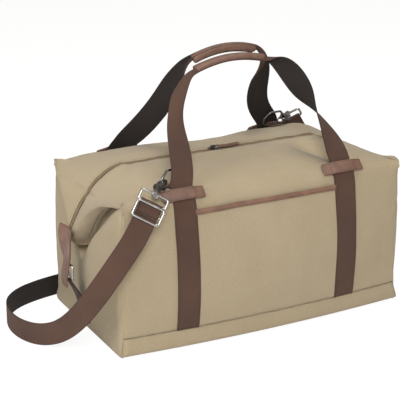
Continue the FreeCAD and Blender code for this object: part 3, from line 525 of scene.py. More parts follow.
def metal_finish(name, colour, roughness):
    """Plated metal with faint polishing marks and dulled patches."""
    made = Finish(name, colour, roughness, 1.0)
    place = made.place.outputs["Object"]
    dulled = made.noise(place, 60.0, 4.0)
    marks = made.noise(made.scaled("Object", (1500, 1500, 200)), 1.0, 2.0)
    made.roughness(made.range(dulled, 0.3, 0.7, roughness - 0.05, roughness + 0.12))
    made.colour(made.mix(dulled, tone(colour, 0.85), tone(colour, 1.12)))
    made.bump(marks, 0.00008, 0.3)
    return made


@once
def dark_metal():
    return metal_finish("dark_nickel", tuple(finishes().dark_metal), 0.24)


@once
def bright_metal():
    return metal_finish("polished_nickel", tuple(finishes().bright_metal), 0.2)


def thread_finish(name, colour):
    made = Finish(name, colour, 0.7)
    twist = made.wave(made.place.outputs["Object"], 900, "DIAGONAL")
    made.colour(made.mix(twist, tone(colour, 0.7), tone(colour, 1.2)))
    return made


@once
def brown_thread():
    return thread_finish("brown_thread", tone(tuple(finishes().webbing), 0.62)[:3])


@once
def khaki_thread():
    return thread_finish("khaki_thread", tone(tuple(finishes().canvas), 0.72)[:3])


@once
def board():
    colour = (0.03, 0.03, 0.03)
    made = Finish("base_board", colour, 0.6)
    made.bump(made.noise(made.place.outputs["Object"], 400.0), 0.0003)
    return made


# Geometry node trees ---------------------------------------------------------------------

def small_mesh(name, kind):
    """Few-faced mesh that is repeated: a stitch, or a tooth, a unit long along X."""
    shape = bmesh.new()
    if kind == "stitch":
        bmesh.ops.create_uvsphere(shape, u_segments=8, v_segments=5, radius=0.5)
    else:
        bmesh.ops.create_cube(shape, size=1.0)
        bmesh.ops.bevel(shape, geom=list(shape.edges), offset=0.18, segments=1, affect="EDGES")
    data = bpy.data.meshes.new(name)
    shape.to_mesh(data)
    shape.free()
    data.shade_smooth()
    piece = bpy.data.objects.new(name, data)
    return piece


def repeat_tree(name, unit_object, finish, alternate):
    """Repeats a small shape along every edge path of the mesh it is put on."""
    tree = bpy.data.node_groups.new(name, "GeometryNodeTree")
    face = tree.interface
    face.new_socket("Geometry", in_out="INPUT", socket_type="NodeSocketGeometry")
    for label, default in (("Spacing", 0.0036), ("Length", 0.0027), ("Width", 0.0009),
                           ("Height", 0.0007), ("Side step", 0.0)):
        socket = face.new_socket(label, in_out="INPUT", socket_type="NodeSocketFloat")
        socket.default_value = default
    face.new_socket("Geometry", in_out="OUTPUT", socket_type="NodeSocketGeometry")
    given = add_node(tree, "NodeGroupInput").outputs
    curve = add_node(tree, "GeometryNodeMeshToCurve", {"Mesh": given["Geometry"]})
    resample = add_node(tree, "GeometryNodeResampleCurve",
                        {"Curve": curve.outputs["Curve"], "Length": given["Spacing"]}, mode="LENGTH")
    points = resample.outputs["Curve"]
    if alternate:
        index = add_node(tree, "GeometryNodeInputIndex").outputs[0]
        for operation, value in (("MODULO", 2.0), ("SUBTRACT", 0.5), ("MULTIPLY", given["Side step"])):
            index = add_node(tree, "ShaderNodeMath", {0: index, 1: value},
                             operation=operation).outputs[0]
        offset = add_node(tree, "ShaderNodeCombineXYZ", {"Y": index})
        move = add_node(tree, "GeometryNodeSetPosition",
                        {"Geometry": points, "Offset": offset.outputs[0]})
        points = move.outputs["Geometry"]
    tangent = add_node(tree, "GeometryNodeInputTangent")
    align = add_node(tree, "FunctionNodeAlignRotationToVector",
                     {"Vector": tangent.outputs["Tangent"]}, axis="X")
    size = add_node(tree, "ShaderNodeCombineXYZ",
                    {"X": given["Length"], "Y": given["Width"], "Z": given["Height"]})
    source = add_node(tree, "GeometryNodeObjectInfo", {"Object": unit_object})
    instance = add_node(tree, "GeometryNodeInstanceOnPoints",
                        {"Points": points, "Instance": source.outputs["Geometry"],
                         "Rotation": align.outputs["Rotation"], "Scale": size.outputs["Vector"]})
    realize = add_node(tree, "GeometryNodeRealizeInstances",
                       {"Geometry": instance.outputs["Instances"]})
    paint_all = add_node(tree, "GeometryNodeSetMaterial",
                         {"Geometry": realize.outputs["Geometry"], "Material": finish})
    add_node(tree, "NodeGroupOutput", {"Geometry": paint_all.outputs["Geometry"]})
    return tree


def repeated(name, paths, tree, values):
    """Runs a repeat tree along the paths and returns the plain mesh piece."""
    points, edges = [], []
    for path in paths:
        first = len(points)
        points.extend(tuple(p) for p in np.array(path) * MM)
        edges.extend((first + i, first + i + 1) for i in range(len(path) - 1))
    data = bpy.data.meshes.new(name)
    data.from_pydata(points, edges, [])
    piece = bpy.data.objects.new(name, data)
    bpy.context.scene.collection.objects.link(piece)
    modifier = piece.modifiers.new("Repeat", "NODES")
    modifier.node_group = tree
    for item in tree.interface.items_tree:
        if item.item_type == "SOCKET" and item.in_out == "INPUT" and item.name in values:
            modifier[item.identifier] = values[item.name]
    return fixed(piece)


stitch_paths = {}


def sew(body, thread, *paths):
    """Notes paths to be stitched; they become one piece for each body and thread."""
    stitch_paths.setdefault((body, thread), []).extend(paths)


# Canvas ----------------------------------------------------------------------------------

EDGE_X = HALF_LENGTH - 2.3
FACE_ROWS = 4                       # cage rows below the shoulder
HALF_ZIP = 6.0
ZIP_POWER = 2.45


def shoulder_height():
    return sizes().shoulder / MM


def corner_share(x):
    return min(1.0, abs(x) / HALF_LENGTH) ** 2


def mixed(middle, corner, x):
    share = corner_share(x)
    return middle * (1 - share) + corner * share


def zip_height(x):
    start = sizes().wing_start / MM
    beyond = min(max(0.0, abs(x) - start) / (TIP_X - start), 1.0)
    return RIDGE - sizes().wing_drop / MM * beyond ** ZIP_POWER


def section_rows(x):
    """Cage points across the front half at one place, from the base seam to the zip."""
    top = zip_height(x)
    shoulder = shoulder_height()
    face = -(HALF_WIDTH + mixed(sizes().bulge / MM, 0, x))
    swell = mixed(8, 0, x)
    back = mixed(14, 0, x)
    return [(x, face, BAND + 0.3), (x, face - swell, BAND + 50), (x, face - swell, BAND + 120),
            (x, face + back / 2, shoulder - 45), (x, face + back, shoulder - mixed(4, 1, x)),
            (x, face + back + mixed(30, 12, x), mixed(RIDGE - 6, shoulder - 2, x)),
            (x, -HALF_WIDTH * 0.45, mixed(RIDGE, (shoulder + top) / 2, x)),
            (x, -HALF_ZIP, top)]


def fold_share(y):
    """0 at the corner seam, 1 at the bag's middle plane."""
    return np.clip((HALF_WIDTH - np.abs(y)) / (HALF_WIDTH - 2), 0, 1)


def fold_height(y):
    """Height of the folded edge over the end, at a distance from the middle plane."""
    return shoulder_height() - 1 - sizes().hood_drop / MM * fold_share(y) ** 2.2


def tuck_depth(y):
    """How far the end panel's top is pulled in under the fold."""
    return 22 * smooth(fold_share(y), 0.03, 0.3)


def wing_rows(turn):
    """Cage points of the left wing at one station: two under the fold, then up to the zip."""
    swing = turn * math.pi / 2
    y = -HALF_WIDTH + (HALF_WIDTH - 2) * (1 - math.cos(swing)) ** 0.8
    share = float(fold_share(y))
    fold = np.array([-HALF_LENGTH - 1.2 - 7 * math.sin(swing) - 16 * share ** 2.5, y,
                     float(fold_height(y))])
    ridge_x = HALF_LENGTH + 1.2 + (TIP_X - HALF_LENGTH - 1.2) * math.sin(swing) ** 0.9
    ridge = np.array([-ridge_x, -HALF_ZIP, zip_height(ridge_x)])
    span = ridge - fold
    crown = unit(np.array([-1, -0.6, 0.8])) * np.linalg.norm(span) * 0.12
    back = -HALF_LENGTH + float(tuck_depth(y)) + 3
    deep = np.array([back, y, fold[2] + 10 * math.sin(swing)])
    lip = np.array([fold[0] * 0.6 + back * 0.4, y, fold[2] - 3])
    return [deep, lip, fold + np.array([0, 0, 0.5]), fold + span * 0.3 + crown,
            fold + span * 0.7 + crown * 0.6, ridge]


def half_cage():
    """Cage of the front half: main stretch and both wings, with its cloth coordinates."""
    points, cloth, faces = [], [], []

    def add(point, where):
        points.append(np.array(point, float))
        cloth.append(where)
        return len(points) - 1

    main = []
    for share in (-1, -0.94, -0.84, -0.7, -0.54, -0.36, -0.18, 0, 0.18, 0.36, 0.54, 0.7, 0.84, 0.94, 1):
        rows = np.array(section_rows(EDGE_X * share))
        run = distances(rows)
        main.append([add(row, (row[0] * MM, far * MM)) for row, far in zip(rows, run)])
    for before, after in zip(main, main[1:]):
        for k in range(7):
            faces.append((before[k], after[k], after[k + 1], before[k + 1]))
    for sign, edge in ((-1, main[0]), (1, main[-1])):
        wrap = []
        for k in range(FACE_ROWS):
            spot = points[edge[k]]
            wrap.append(add(spot + (sign * 2.2, 3.2, 0), cloth[edge[k]]))
        wrap.append(edge[FACE_ROWS])
        for k in range(FACE_ROWS):
            face = list(dict.fromkeys([edge[k], wrap[k], wrap[k + 1], edge[k + 1]]))
            faces.append(tuple(face if sign > 0 else face[::-1]))
    for sign, edge in ((-1, main[0]), (1, main[-1])):
        before = [edge[FACE_ROWS]] * 2 + edge[FACE_ROWS:]
        base_u, base_v = cloth[edge[FACE_ROWS]]
        travelled = 0.0
        for turn in (0.16, 0.32, 0.48, 0.64, 0.82, 1.0):
            rows = np.array(wing_rows(turn))
            rows[:, 0] *= -sign
            travelled += 0.018
            run = distances(rows)
            after = [add(row, (base_u + sign * travelled, base_v + (far - 10) * MM))
                     for row, far in zip(rows, run)]
            for k in range(5):
                face = [before[k], after[k], after[k + 1], before[k + 1]]
                face = list(dict.fromkeys(face))
                if len(face) > 2:
                    faces.append(tuple(face if sign > 0 else face[::-1]))
            before = after
    corners = [main[0][FACE_ROWS], main[-1][FACE_ROWS]]
    return np.array(points), cloth, faces, corners


def hollow(x, y, centre, spread, depth):
    return depth * np.exp(-((x - centre[0]) / spread[0]) ** 2 - ((y - centre[1]) / spread[1]) ** 2)


def from_line(x, y, start, stop):
    """Signed distance from a line on the roof, and how far along it a place is."""
    start, stop = np.array(start, float), np.array(stop, float)
    along = stop - start
    length = np.linalg.norm(along)
    along /= length
    dx, dy = x - start[0], y - start[1]
    return dx * along[1] - dy * along[0], (dx * along[0] + dy * along[1]) / length


def roof_sag(points):
    """How the worn roof sits above or below its cut shape, in millimetres up."""
    x, y, z = points.T
    roof = smooth(z, 190, 256)
    rise = hollow(x, y, (-165, 0), (60, 120), 5) + hollow(x, y, (-45, 0), (55, 110), -4)
    rise += hollow(x, y, (75, 0), (45, 90), 3) + hollow(x, y, (200, 0), (42, 70), -9)
    rise -= smooth(x, 185, 262) * (6 + 9 * y / HALF_WIDTH) * smooth(y, -130, -60)
    rise += hollow(x, y, (215, 95), (34, 40), 5) + hollow(x, y, (25, 108), (80, 55), -10)
    rise += hollow(x, y, (-225, 115), (42, 40), 5) + hollow(x, y, (266, 118), (34, 46), -7)
    away, share = from_line(x, y, (112, -6), (168, -112))
    inside = smooth(share, 0.02, 0.4) * (1 - smooth(share, 0.85, 1.15))
    valley = np.where(away > 0, np.exp(-(away / 28) ** 2), np.exp(-(away / 15) ** 2))
    rise -= 13 * valley * inside
    rise += 5 * np.exp(-((away + 24) / 16) ** 2) * inside
    away, share = from_line(x, y, (-262, -120), (-150, -70))
    inside = smooth(share, 0, 0.2) * (1 - smooth(share, 0.7, 1.2))
    rise -= 4 * np.exp(-(away / 9) ** 2) * inside
    away, share = from_line(x, y, (-262, -105), (-185, -22))
    inside = smooth(share, 0, 0.25) * (1 - smooth(share, 0.8, 1.2))
    rise -= 3.0 * np.exp(-(away / 10) ** 2) * inside
    track = (1 - smooth(np.abs(y), 9, 38)) * smooth(x, -204, -186) * (1 - smooth(x, 168, 186))
    return rise * roof * (1 - track)


def soft_noise(points, stretch, seed):
    return np.array([noise.noise(Vector((p[0] / stretch[0], p[1] / stretch[1], p[2] / stretch[2]))
                                  + Vector((seed, 0, 0)))
                     for p in points])


def normals_of(piece):
    data = np.zeros(len(piece.data.vertices) * 3, np.float32)
    piece.data.vertex_normals.foreach_get("vector", data)
    return data.reshape(-1, 3).astype(float)


def wear(piece, seed, seams):
    """Broad folds, fine puckers at the seams and the roof's sag, moved into the mesh."""
    points = place_of(piece)
    normals = normals_of(piece)
    depth = sizes().wrinkle / MM
    broad = soft_noise(points, (85, 85, 120), seed)
    middle = soft_noise(points, (34, 34, 60), seed + 7)
    fine = soft_noise(points, (13, 13, 16), seed + 13)
    free = seams(points)
    puckers = 1 - smooth(free, 2, 22)
    shift = (depth * (0.9 * broad + 0.45 * middle) * smooth(free, 0, 35)
             + 0.9 * fine * puckers + 0.22 * fine)
    points = points + normals * shift[:, None]
    points[:, 2] += roof_sag(points)
    groove = np.exp(-(free / 2.6) ** 2)
    points -= normals * (1.5 * groove)[:, None]
    replace_places(piece, points)


def thicken(piece, thickness):
    modifier = piece.modifiers.new("Cloth", "SOLIDIFY")
    modifier.thickness = thickness
    modifier.offset = -1
    modifier.use_rim = True
    return fixed(piece)


def subdivided(piece, levels):
    modifier = piece.modifiers.new("Round", "SUBSURF")
    modifier.levels = levels
    modifier.render_levels = levels
    modifier.boundary_smooth = "PRESERVE_CORNERS"
    return fixed(piece)


def canvas_half(name, sign, seed):
    """Front or back canvas: one cut of cloth that runs into both wings."""
    points, cloth, faces, corners = half_cage()
    points[:, 1] *= -sign
    if sign > 0:
        faces = [face[::-1] for face in faces]
    piece = make_mesh(name, points, faces, canvas(), cloth)
    crease = piece.data.attributes.new("crease_vert", "FLOAT", "POINT")
    for corner in corners:
        crease.data[corner].value = 0.8
    outward_grid(piece, Vector((0, sign, 0.4)))
    subdivided(piece, 4)

    def seams(places):
        x, y, z = places.T
        base = np.abs(z - BAND)
        side = np.where(z < shoulder_height() - 12, np.abs(np.abs(x) - EDGE_X), 99)
        zip_edge = np.abs(np.abs(y) - HALF_ZIP) + 3
        return np.minimum(np.minimum(base, side), zip_edge)

    wear(piece, seed, seams)
    return piece


def outward_grid(piece, direction):
    """Flips an open sheet whose faces look away from a direction."""
    total = Vector((0, 0, 0))
    for face in piece.data.polygons:
        total += face.normal * face.area
    if total.dot(direction) < 0:
        piece.data.flip_normals()
    return piece


def end_place(y, z, inset=0.0):
    """Distance out of the left end panel, in millimetres from the bag's middle."""
    side = np.clip(1 - (y / HALF_WIDTH) ** 2, 0, 1)
    height = np.clip(z / 250, 0, 1)
    bulge = 9 * side ** 0.6 * np.sin(math.pi * height) ** 0.8 + 3.5 * np.sin(math.pi * height)
    share = fold_share(y)
    lip = fold_height(y) - 4 - 22 * smooth(share, 0.05, 0.6)
    tuck = tuck_depth(y) * smooth(z, lip - 8, lip + 14)
    edge = smooth(HALF_WIDTH - np.abs(y), 0, 9)
    foot = 4.5 * (1 - smooth(z, 3, 60))
    return HALF_LENGTH - 3 + foot + 2 * edge + bulge * edge - tuck - inset


def end_sheet(name, sign, inset, finish, low_z=0.0):
    columns = np.concatenate([[-1, -0.985, -0.96], np.linspace(-0.92, 0.92, 61), [0.96, 0.985, 1]])
    count = 80
    points, cloth = [], []
    reach = HALF_WIDTH - 1.5 - inset
    for k in range(count):
        for share in columns:
            y = share * reach
            top = float(fold_height(y)) - 1 + 13 * float(smooth(fold_share(y), 0.12, 0.36)) - inset
            z = low_z + (top - low_z) * (k / (count - 1))
            points.append((sign * end_place(np.array(y), np.array(z), inset), y, z))
            cloth.append((y * MM, z * MM))
    points = np.array(points)
    points[:, 2] += roof_sag(points)
    piece = make_mesh(name, points, grid_faces(count, len(columns)), finish, cloth)
    outward_grid(piece, Vector((sign, 0, 0)))
    return piece


def build_end_panel(name, sign, seed):
    piece = end_sheet(name, sign, 0.0, canvas())

    def seams(places):
        side = HALF_WIDTH - 1 - np.abs(places[:, 1])
        return np.minimum(side, places[:, 2] + 1)

    points = place_of(piece)
    normals = normals_of(piece)
    free = seams(points)
    broad = soft_noise(points, (70, 70, 110), seed)
    fine = soft_noise(points, (13, 13, 16), seed + 5)
    shift = 2.2 * broad * smooth(free, 0, 40) + 0.7 * fine * (1 - smooth(free, 2, 22))
    shift -= 1.4 * np.exp(-(free / 2.6) ** 2)
    replace_places(piece, points + normals * shift[:, None])
    thicken(piece, sizes().cloth)
    return settle(piece, "root", ["end_panel_" + ("left" if sign < 0 else "right")])


def base_rows(x, inset):
    side = HALF_WIDTH + mixed(sizes().bulge / MM, 0, x) - inset
    front = [(x, -side, BAND), (x, -side - 0.5, 24), (x, -side, 12), (x, -side + 1.5, 4 + inset),
             (x, -side + 8, inset + 0.4), (x, -side + 26, inset + 0.1)]
    back = [(p[0], -p[1], p[2]) for p in reversed(front)]
    return front + [(x, 0, inset + 0.1)] + back


def build_base():
    """Base cloth turned up the front and back."""
    stations = np.linspace(-1, 1, 61) * (EDGE_X + 1)
    rows = [spline(base_rows(x, 0), 90) for x in stations]
    points = np.array(rows).reshape(-1, 3)
    foot = 1 - smooth(points[:, 2], 3, BAND - 2)
    for axis, spread, start, stop in ((1, 4.5, 90, 136), (0, 4.0, EDGE_X - 40, EDGE_X)):
        far = np.abs(points[:, axis])
        points[:, axis] += np.sign(points[:, axis]) * spread * foot * smooth(far, start, stop)
    run = distances(rows[30])
    cloth = [(x * MM, far * MM) for x in stations for far in run]
    piece = make_mesh("base_canvas", points, grid_faces(61, 90), canvas(), cloth)
    outward_grid(piece, Vector((0, 0, -1)))
    places = place_of(piece)
    normals = normals_of(piece)
    rim = np.minimum(BAND - places[:, 2], EDGE_X - np.abs(places[:, 0]))
    upright = smooth(places[:, 2], 5, 14)
    fine = soft_noise(places, (16, 16, 14), 3)
    shift = upright * (0.8 * fine * (1 - smooth(rim, 2, 25)) - 1.5 * np.exp(-(rim / 2.6) ** 2))
    moved = places + normals * shift[:, None]
    moved[:, 2] = np.maximum(moved[:, 2], 0.05)
    replace_places(piece, moved)
    thicken(piece, sizes().cloth)
    return settle(piece, "root", ["base_panel"])


def build_lining():
    """Lining hung inside."""
    stations = np.linspace(-1, 1, 41) * (EDGE_X - 9)
    rows = []
    for x in stations:
        inside = [(x, p[1] + 8, p[2] - 6) for p in section_rows(x)[1:]]
        inside[-1] = (x, -HALF_ZIP - 12, zip_height(x) - 12)
        floor = [(x, inside[0][1], 40), (x, inside[0][1] + 2, 16), (x, inside[0][1] + 30, 8)]
        front = list(reversed(inside)) + floor
        whole = front + [(x, 0, 8)] + [(p[0], -p[1], p[2]) for p in reversed(front)]
        rows.append(spline(whole, 80))
    points = np.array(rows).reshape(-1, 3)
    points[:, 2] += np.minimum(roof_sag(points + (0, 0, 9)), 0) - 3 * smooth(points[:, 2], 190, 245)
    points[:, 1] *= 1 - 0.02 * smooth(points[:, 2], 150, 235)
    body = make_mesh("lining_cloth_body", points, grid_faces(41, 80), lining())
    thicken(body, 0.0008)
    settle(body, "root", ["lining_body"])
    for side, sign in (("left", -1), ("right", 1)):
        end = end_sheet("lining_cloth_" + side, sign, 7.0, lining(), low_z=9)
        thicken(end, 0.0008)
        settle(end, "root", ["lining_end_" + side])


# What lies on the canvas -----------------------------------------------------------------

skins = {}


def skin_point(side, x, z):
    """Point and outward direction on the upright canvas at a place along and a height."""
    sign = -1 if side == "front" else 1
    hit, normal, _, _ = skins[side].ray_cast(Vector((x, sign * 400, z)) * MM, Vector((0, -sign, 0)))
    if hit is None:
        raise RuntimeError("no canvas at %s %s" % (x, z))
    return np.array(hit) / MM, np.array(normal)


def leg_rows(side, x, low_z, high_z, lift):
    """Rows of a band that lies up the canvas."""
    rows = []
    for z in np.arange(low_z, high_z, 4.0):
        spot, normal = skin_point(side, x, z)
        left, _ = skin_point(side, x - WEB_HALF * 0.7, z)
        right, _ = skin_point(side, x + WEB_HALF * 0.7, z)
        width = unit(right - left) * (1 if side == "front" else -1)
        middle = spot * 0.5 + (left + right) * 0.25
        rows.append(np.concatenate([middle + normal * lift, width, [WEB_HALF, 0, 1]]))
    rows = np.array(rows)
    for _ in range(4):
        rows[1:-1, :3] = (rows[:-2, :3] + 2 * rows[1:-1, :3] + rows[2:, :3]) / 4
    return rows


def tab_frame(side, sign):
    """Middle, along, up and out directions of a handle tab."""
    node = "handle_tab_%s_%s" % (side, "left" if sign < 0 else "right")
    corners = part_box(node)
    middle = np.array((corners[0] + corners[1]) / 2) / MM
    face = -1 if side == "front" else 1
    up = np.array([0, -face, 1.0]) / math.sqrt(2)
    out = np.array([0, face, 1.0]) / math.sqrt(2)
    return middle, np.array([1.0, 0, 0]), up, out


def build_legs():
    """Webbing stitched up the front and back, between the base seam and the tabs."""
    for side in ("front", "back"):
        for label, sign in (("left", -1), ("right", 1)):
            rows = leg_rows(side, sign * LEG_X, BAND + 1.5, TAB_LOW + 1, 2.0)
            middle, _, up, out = tab_frame(side, sign)
            tail = [np.concatenate([middle + up * share - out * 2.6, rows[-1, 3:]])
                    for share in (-7, 0, 5)]
            rows = evenly(np.vstack([rows, tail]), 4.0)
            piece = band("%s_leg_webbing_%s" % (side, label), rows, sizes().webbing / MM, webbing())
            settle(piece, "root", ["%s_leg_%s" % (side, label)])
            lift = sizes().webbing / MM / 2
            for edge in (-1, 1):
                sew("root", "brown", band_edge(rows[:-3], 2.6, lift, edge))
            for height in (14, 20):
                spot = np.argmin(np.abs(rows[:, 2] - (TAB_LOW - height)))
                ends = [band_edge(rows, 4, lift, edge)[spot] for edge in (-1, 1)]
                sew("root", "brown", np.linspace(ends[0], ends[1], 6))


def rounded_half(place, half_length, half_width, radius):
    """Half width of a strip with rounded corners at a place along it."""
    beyond = max(0.0, abs(place) - (half_length - radius))
    return half_width - radius + math.sqrt(max(radius * radius - beyond * beyond, 0.01))


def build_tabs():
    """Leather tabs over the legs, domed over the webbing and sewn down round their edge."""
    half, wide = 39.0, 10.5
    for side in ("front", "back"):
        for label, sign in (("left", -1), ("right", 1)):
            middle, along, up, out = tab_frame(side, sign)
            if side == "back":
                along = -along
            rows = []
            places = np.concatenate([[-half, -half + 0.7, -half + 2],
                                     np.linspace(-half + 4, half - 4, 30),
                                     [half - 2, half - 0.7, half]])
            for place in places:
                dome = 1.6 * (1 - smooth(abs(place), 17, 25)) - 1.9 * smooth(abs(place), 24, 38)
                centre = middle + along * place + out * (dome - 0.4)
                wide_here = rounded_half(place, half, wide, 3.2)
                rows.append(np.concatenate([centre, up, [wide_here, 0.03, 1]]))
            rows = np.array(rows)
            piece = band("handle_tab_leather_%s_%s" % (side, label), rows, 2.6, leather())
            settle(piece, "root", ["handle_tab_%s_%s" % (side, label)])
            inner = rows[3:-3]
            faces_out = np.dot(np.cross(rows[0, 3:6], tangents(rows[:, :3])[0]), out) > 0
            top, bottom = (band_edge(inner, 2.2, 1.35 if faces_out else -1.35, edge)
                           for edge in (1, -1))
            ends = [np.linspace(bottom[k], top[k], 8) for k in (0, -1, 5, -6)]
            sew("root", "brown", top, bottom, *ends)


def build_pocket():
    """Slip pocket cloth between the legs, with its leather-bound upper edge."""
    half = LEG_X - WEB_HALF + 6
    columns = np.linspace(-half, half, 60)
    heights = np.linspace(BAND + 1, POCKET_TOP - 2, 50)
    points, cloth = [], []
    for z in heights:
        for x in columns:
            spot, normal = skin_point("front", x, z)
            points.append(spot + normal * 1.6)
            cloth.append((x * MM, z * MM))
    piece = make_mesh("pocket_canvas", points, grid_faces(50, 60), canvas(), cloth)
    outward_grid(piece, Vector((0, -1, 0)))
    thicken(piece, 0.0012)
    settle(piece, "root", ["front_pocket_panel"])
    rows = []
    half = LEG_X - WEB_HALF + 3
    for x in np.linspace(-half, half, 70):
        spot, normal = skin_point("front", x, POCKET_TOP - 4.5)
        above, _ = skin_point("front", x, POCKET_TOP)
        below, _ = skin_point("front", x, POCKET_TOP - 9)
        rows.append(np.concatenate([spot + normal * 2.9, unit(above - below), [4.6, 0.16, 1]]))
    rows = np.array(rows)
    binding = band("pocket_edge_binding", rows, 1.7, binding_leather())
    settle(binding, "root", ["pocket_binding"])
    sew("root", "brown", band_edge(rows, 2.4, -0.9, -1))


# Zip -------------------------------------------------------------------------------------

zip_lines = {}


def boundary_run(piece, wanted):
    """The chain of border points that meet a test, in order along X."""
    shape = bmesh.new()
    shape.from_mesh(piece.data)
    edges = [e for e in shape.edges if e.is_boundary and all(wanted(v.co / MM) for v in e.verts)]
    linked = {}
    for e in edges:
        for v in e.verts:
            linked.setdefault(v, []).append(e)
    start = min((v for v, es in linked.items() if len(es) == 1), key=lambda v: v.co.x)
    chain, used, here = [np.array(start.co) / MM], set(), start
    while True:
        step = next((e for e in linked[here] if e not in used), None)
        if step is None:
            break
        used.add(step)
        here = step.other_vert(here)
        chain.append(np.array(here.co) / MM)
    shape.free()
    return np.array(chain)


def zip_rows(side_shift, half, drop):
    """Rows of a strip along the zip, at a depth under the canvas edges."""
    line = zip_lines["middle"]
    along = tangents(line)
    up = unit(np.cross(along, np.array([0, 1.0, 0])))
    rows = np.zeros((len(line), 9))
    rows[:, :3] = line - up * drop + np.array([0, side_shift, 0])
    rows[:, 3:6] = (0, 1, 0)
    rows[:, 6] = half
    rows[:, 8] = 1
    return rows


def build_zip():
    """Tapes, coil teeth and the top-stitched canvas edges beside them."""
    for side, sign in (("front", -1), ("back", 1)):
        rows = zip_rows(sign * 9.5, 6.6, 2.6)
        tape = band("zip_tape_cloth_" + side, rows, 0.9, zip_tape())
        settle(tape, "root", ["zip_tape_" + side])
    rows = zip_rows(0, 3, 1.6)
    tooth = small_mesh("zip_tooth", "tooth")
    tree = repeat_tree("zip_teeth_tree", tooth, zip_teeth(), True)
    teeth = repeated("zip_coil_teeth", [rows[:, :3]], tree,
                     {"Spacing": sizes().tooth, "Length": 0.0011, "Width": 0.0042,
                      "Height": 0.0019, "Side step": 0.0014})
    settle(teeth, "root", ["zip_chain"])
    for side, sign in (("front", -1), ("back", 1)):
        sew("root", "khaki", seam_line(side, zip_lines[side], sign * 4.0))


def seam_line(side, edge, shift):
    """A line beside a canvas edge, laid on the canvas."""
    points = []
    for spot in edge[4:-4]:
        target = Vector(spot + np.array([0, shift, 0])) * MM
        hit, normal, _, _ = skins[side].find_nearest(target)
        points.append((np.array(hit) + np.array(normal) * 0.0003) / MM)
    return np.array(points)


def build_puller():
    """Leather pull on the slider's link."""
    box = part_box("zip_puller")
    start = box[0][0] / MM + 1
    stop = box[1][0] / MM
    z = (box[0][2] + box[1][2]) / 2 / MM
    rows = []
    for place in np.concatenate([[0, 0.02, 0.06], np.linspace(0.12, 0.88, 14), [0.94, 0.98, 1]]):
        x = start + (stop - start) * place
        half = 3.2 + 1.8 * float(smooth(place, 0, 0.3)) - 2.6 * float(smooth(place, 0.93, 1))
        rows.append((x, 0, z - 1.2 * math.sin(math.pi * place), 0, 1, 0, half, 0.04, 1))
    rows = np.array(rows)
    piece = band("zip_puller_leather", rows, 2.6, leather())
    settle(piece, "pull", ["zip_puller"])
    for side in (-1, 1):
        sew("pull", "brown", band_edge(rows[3:-3], 1.3, -1.35, side))


# Handles ---------------------------------------------------------------------------------

# Each row: place, width direction, curl and half width, from the left tab, over the grip, to
# the right tab.
WIDE = 20.0
FOLDED = 9.0
FRONT_HANDLE = [
    (-151, -126.5, 264, 1, 0, 0, 0, WIDE), (-151, -124.5, 269, 1, 0, 0, 0, WIDE),
    (-149.5, -120, 276, 1, 0, 0, 0, 19.5), (-143.5, -116, 292, 1, 0, 0, 0, 19),
    (-139, -97, 326, 1, 0, 0, 0, 19.5), (-134, -72, 357, 0.97, 0.1, 0.1, 0.25, 16),
    (-126, -56, 380, 0.9, -0.1, 0.2, 0.5, 12), (-117, -43, 401, 0.75, -0.4, 0.35, 0.5, 14),
    (-104, -32, 419, 0.5, -0.65, 0.4, 0.6, 15), (-90, -24, 430, 0.2, -0.9, 0.2, 0.9, 12),
    (-76, -20, 434, 0, -1, 0, 1, FOLDED), (-50, -19, 442, 0, -1, 0, 1, FOLDED),
    (-14, -19, 449, 0, -1, 0, 1, FOLDED), (25, -19, 448, 0, -1, 0, 1, FOLDED),
    (60, -19, 440, 0, -1, 0, 1, FOLDED), (73, -22, 439, 0.2, -0.85, 0.4, 0.8, 13),
    (87, -31, 431, 0.5, -0.5, 0.6, 0.4, 17), (101, -43, 411, 0.72, -0.3, 0.6, 0.15, WIDE),
    (115, -58, 384, 0.4, -0.6, 0.6, 0.05, WIDE), (127, -75, 357, -0.43, -0.83, 0.34, 0, WIDE),
    (138, -93, 328, -0.75, -0.55, 0.2, 0, WIDE), (148, -112, 293, -1, 0, 0.05, 0, WIDE),
    (151, -120, 276, -1, 0, 0, 0, WIDE), (151, -124.5, 269, -1, 0, 0, 0, WIDE),
    (151, -126.5, 264, -1, 0, 0, 0, WIDE),
]
BACK_HANDLE = [
    (-151, 126.5, 264, -1, 0, 0, 0, WIDE), (-151, 124.5, 269, -1, 0, 0, 0, WIDE),
    (-148, 120, 276, -1, 0, 0, 0, WIDE), (-128, 112, 292, -0.85, 0.35, 0.35, 0, WIDE),
    (-108, 92, 322, -0.65, 0.5, 0.55, 0, WIDE), (-92, 68, 358, -0.6, 0.55, 0.58, 0, WIDE),
    (-83, 49, 389, -0.55, 0.65, 0.5, 0.1, WIDE), (-75, 35, 413, -0.4, 0.8, 0.35, 0.4, 17),
    (-67, 26, 431, -0.2, 0.95, 0.15, 0.8, 13), (-57, 20, 442, 0, 1, 0, 1, FOLDED),
    (-30, 19, 451, 0, 1, 0, 1, FOLDED), (0, 19, 456, 0, 1, 0, 1, FOLDED),
    (30, 19, 455, 0, 1, 0, 1, FOLDED), (60, 19, 449, 0, 1, 0, 1, FOLDED),
    (72, 21, 441, 0.1, 1, 0.1, 0.9, 12), (81, 28, 427, 0.5, 0.8, 0.1, 0.6, 16),
    (87, 40, 405, 0.9, 0.4, 0, 0.3, WIDE), (94, 58, 377, 1, 0.1, 0, 0.1, WIDE),
    (103, 82, 343, 1, 0, 0, 0, WIDE), (118, 101, 314, 1, 0, 0, 0, WIDE),
    (140, 115, 290, 1, 0, 0, 0, WIDE), (150, 120, 276, 1, 0, 0, 0, WIDE),
    (151, 124.5, 269, 1, 0, 0, 0, WIDE), (151, 126.5, 264, 1, 0, 0, 0, WIDE),
]


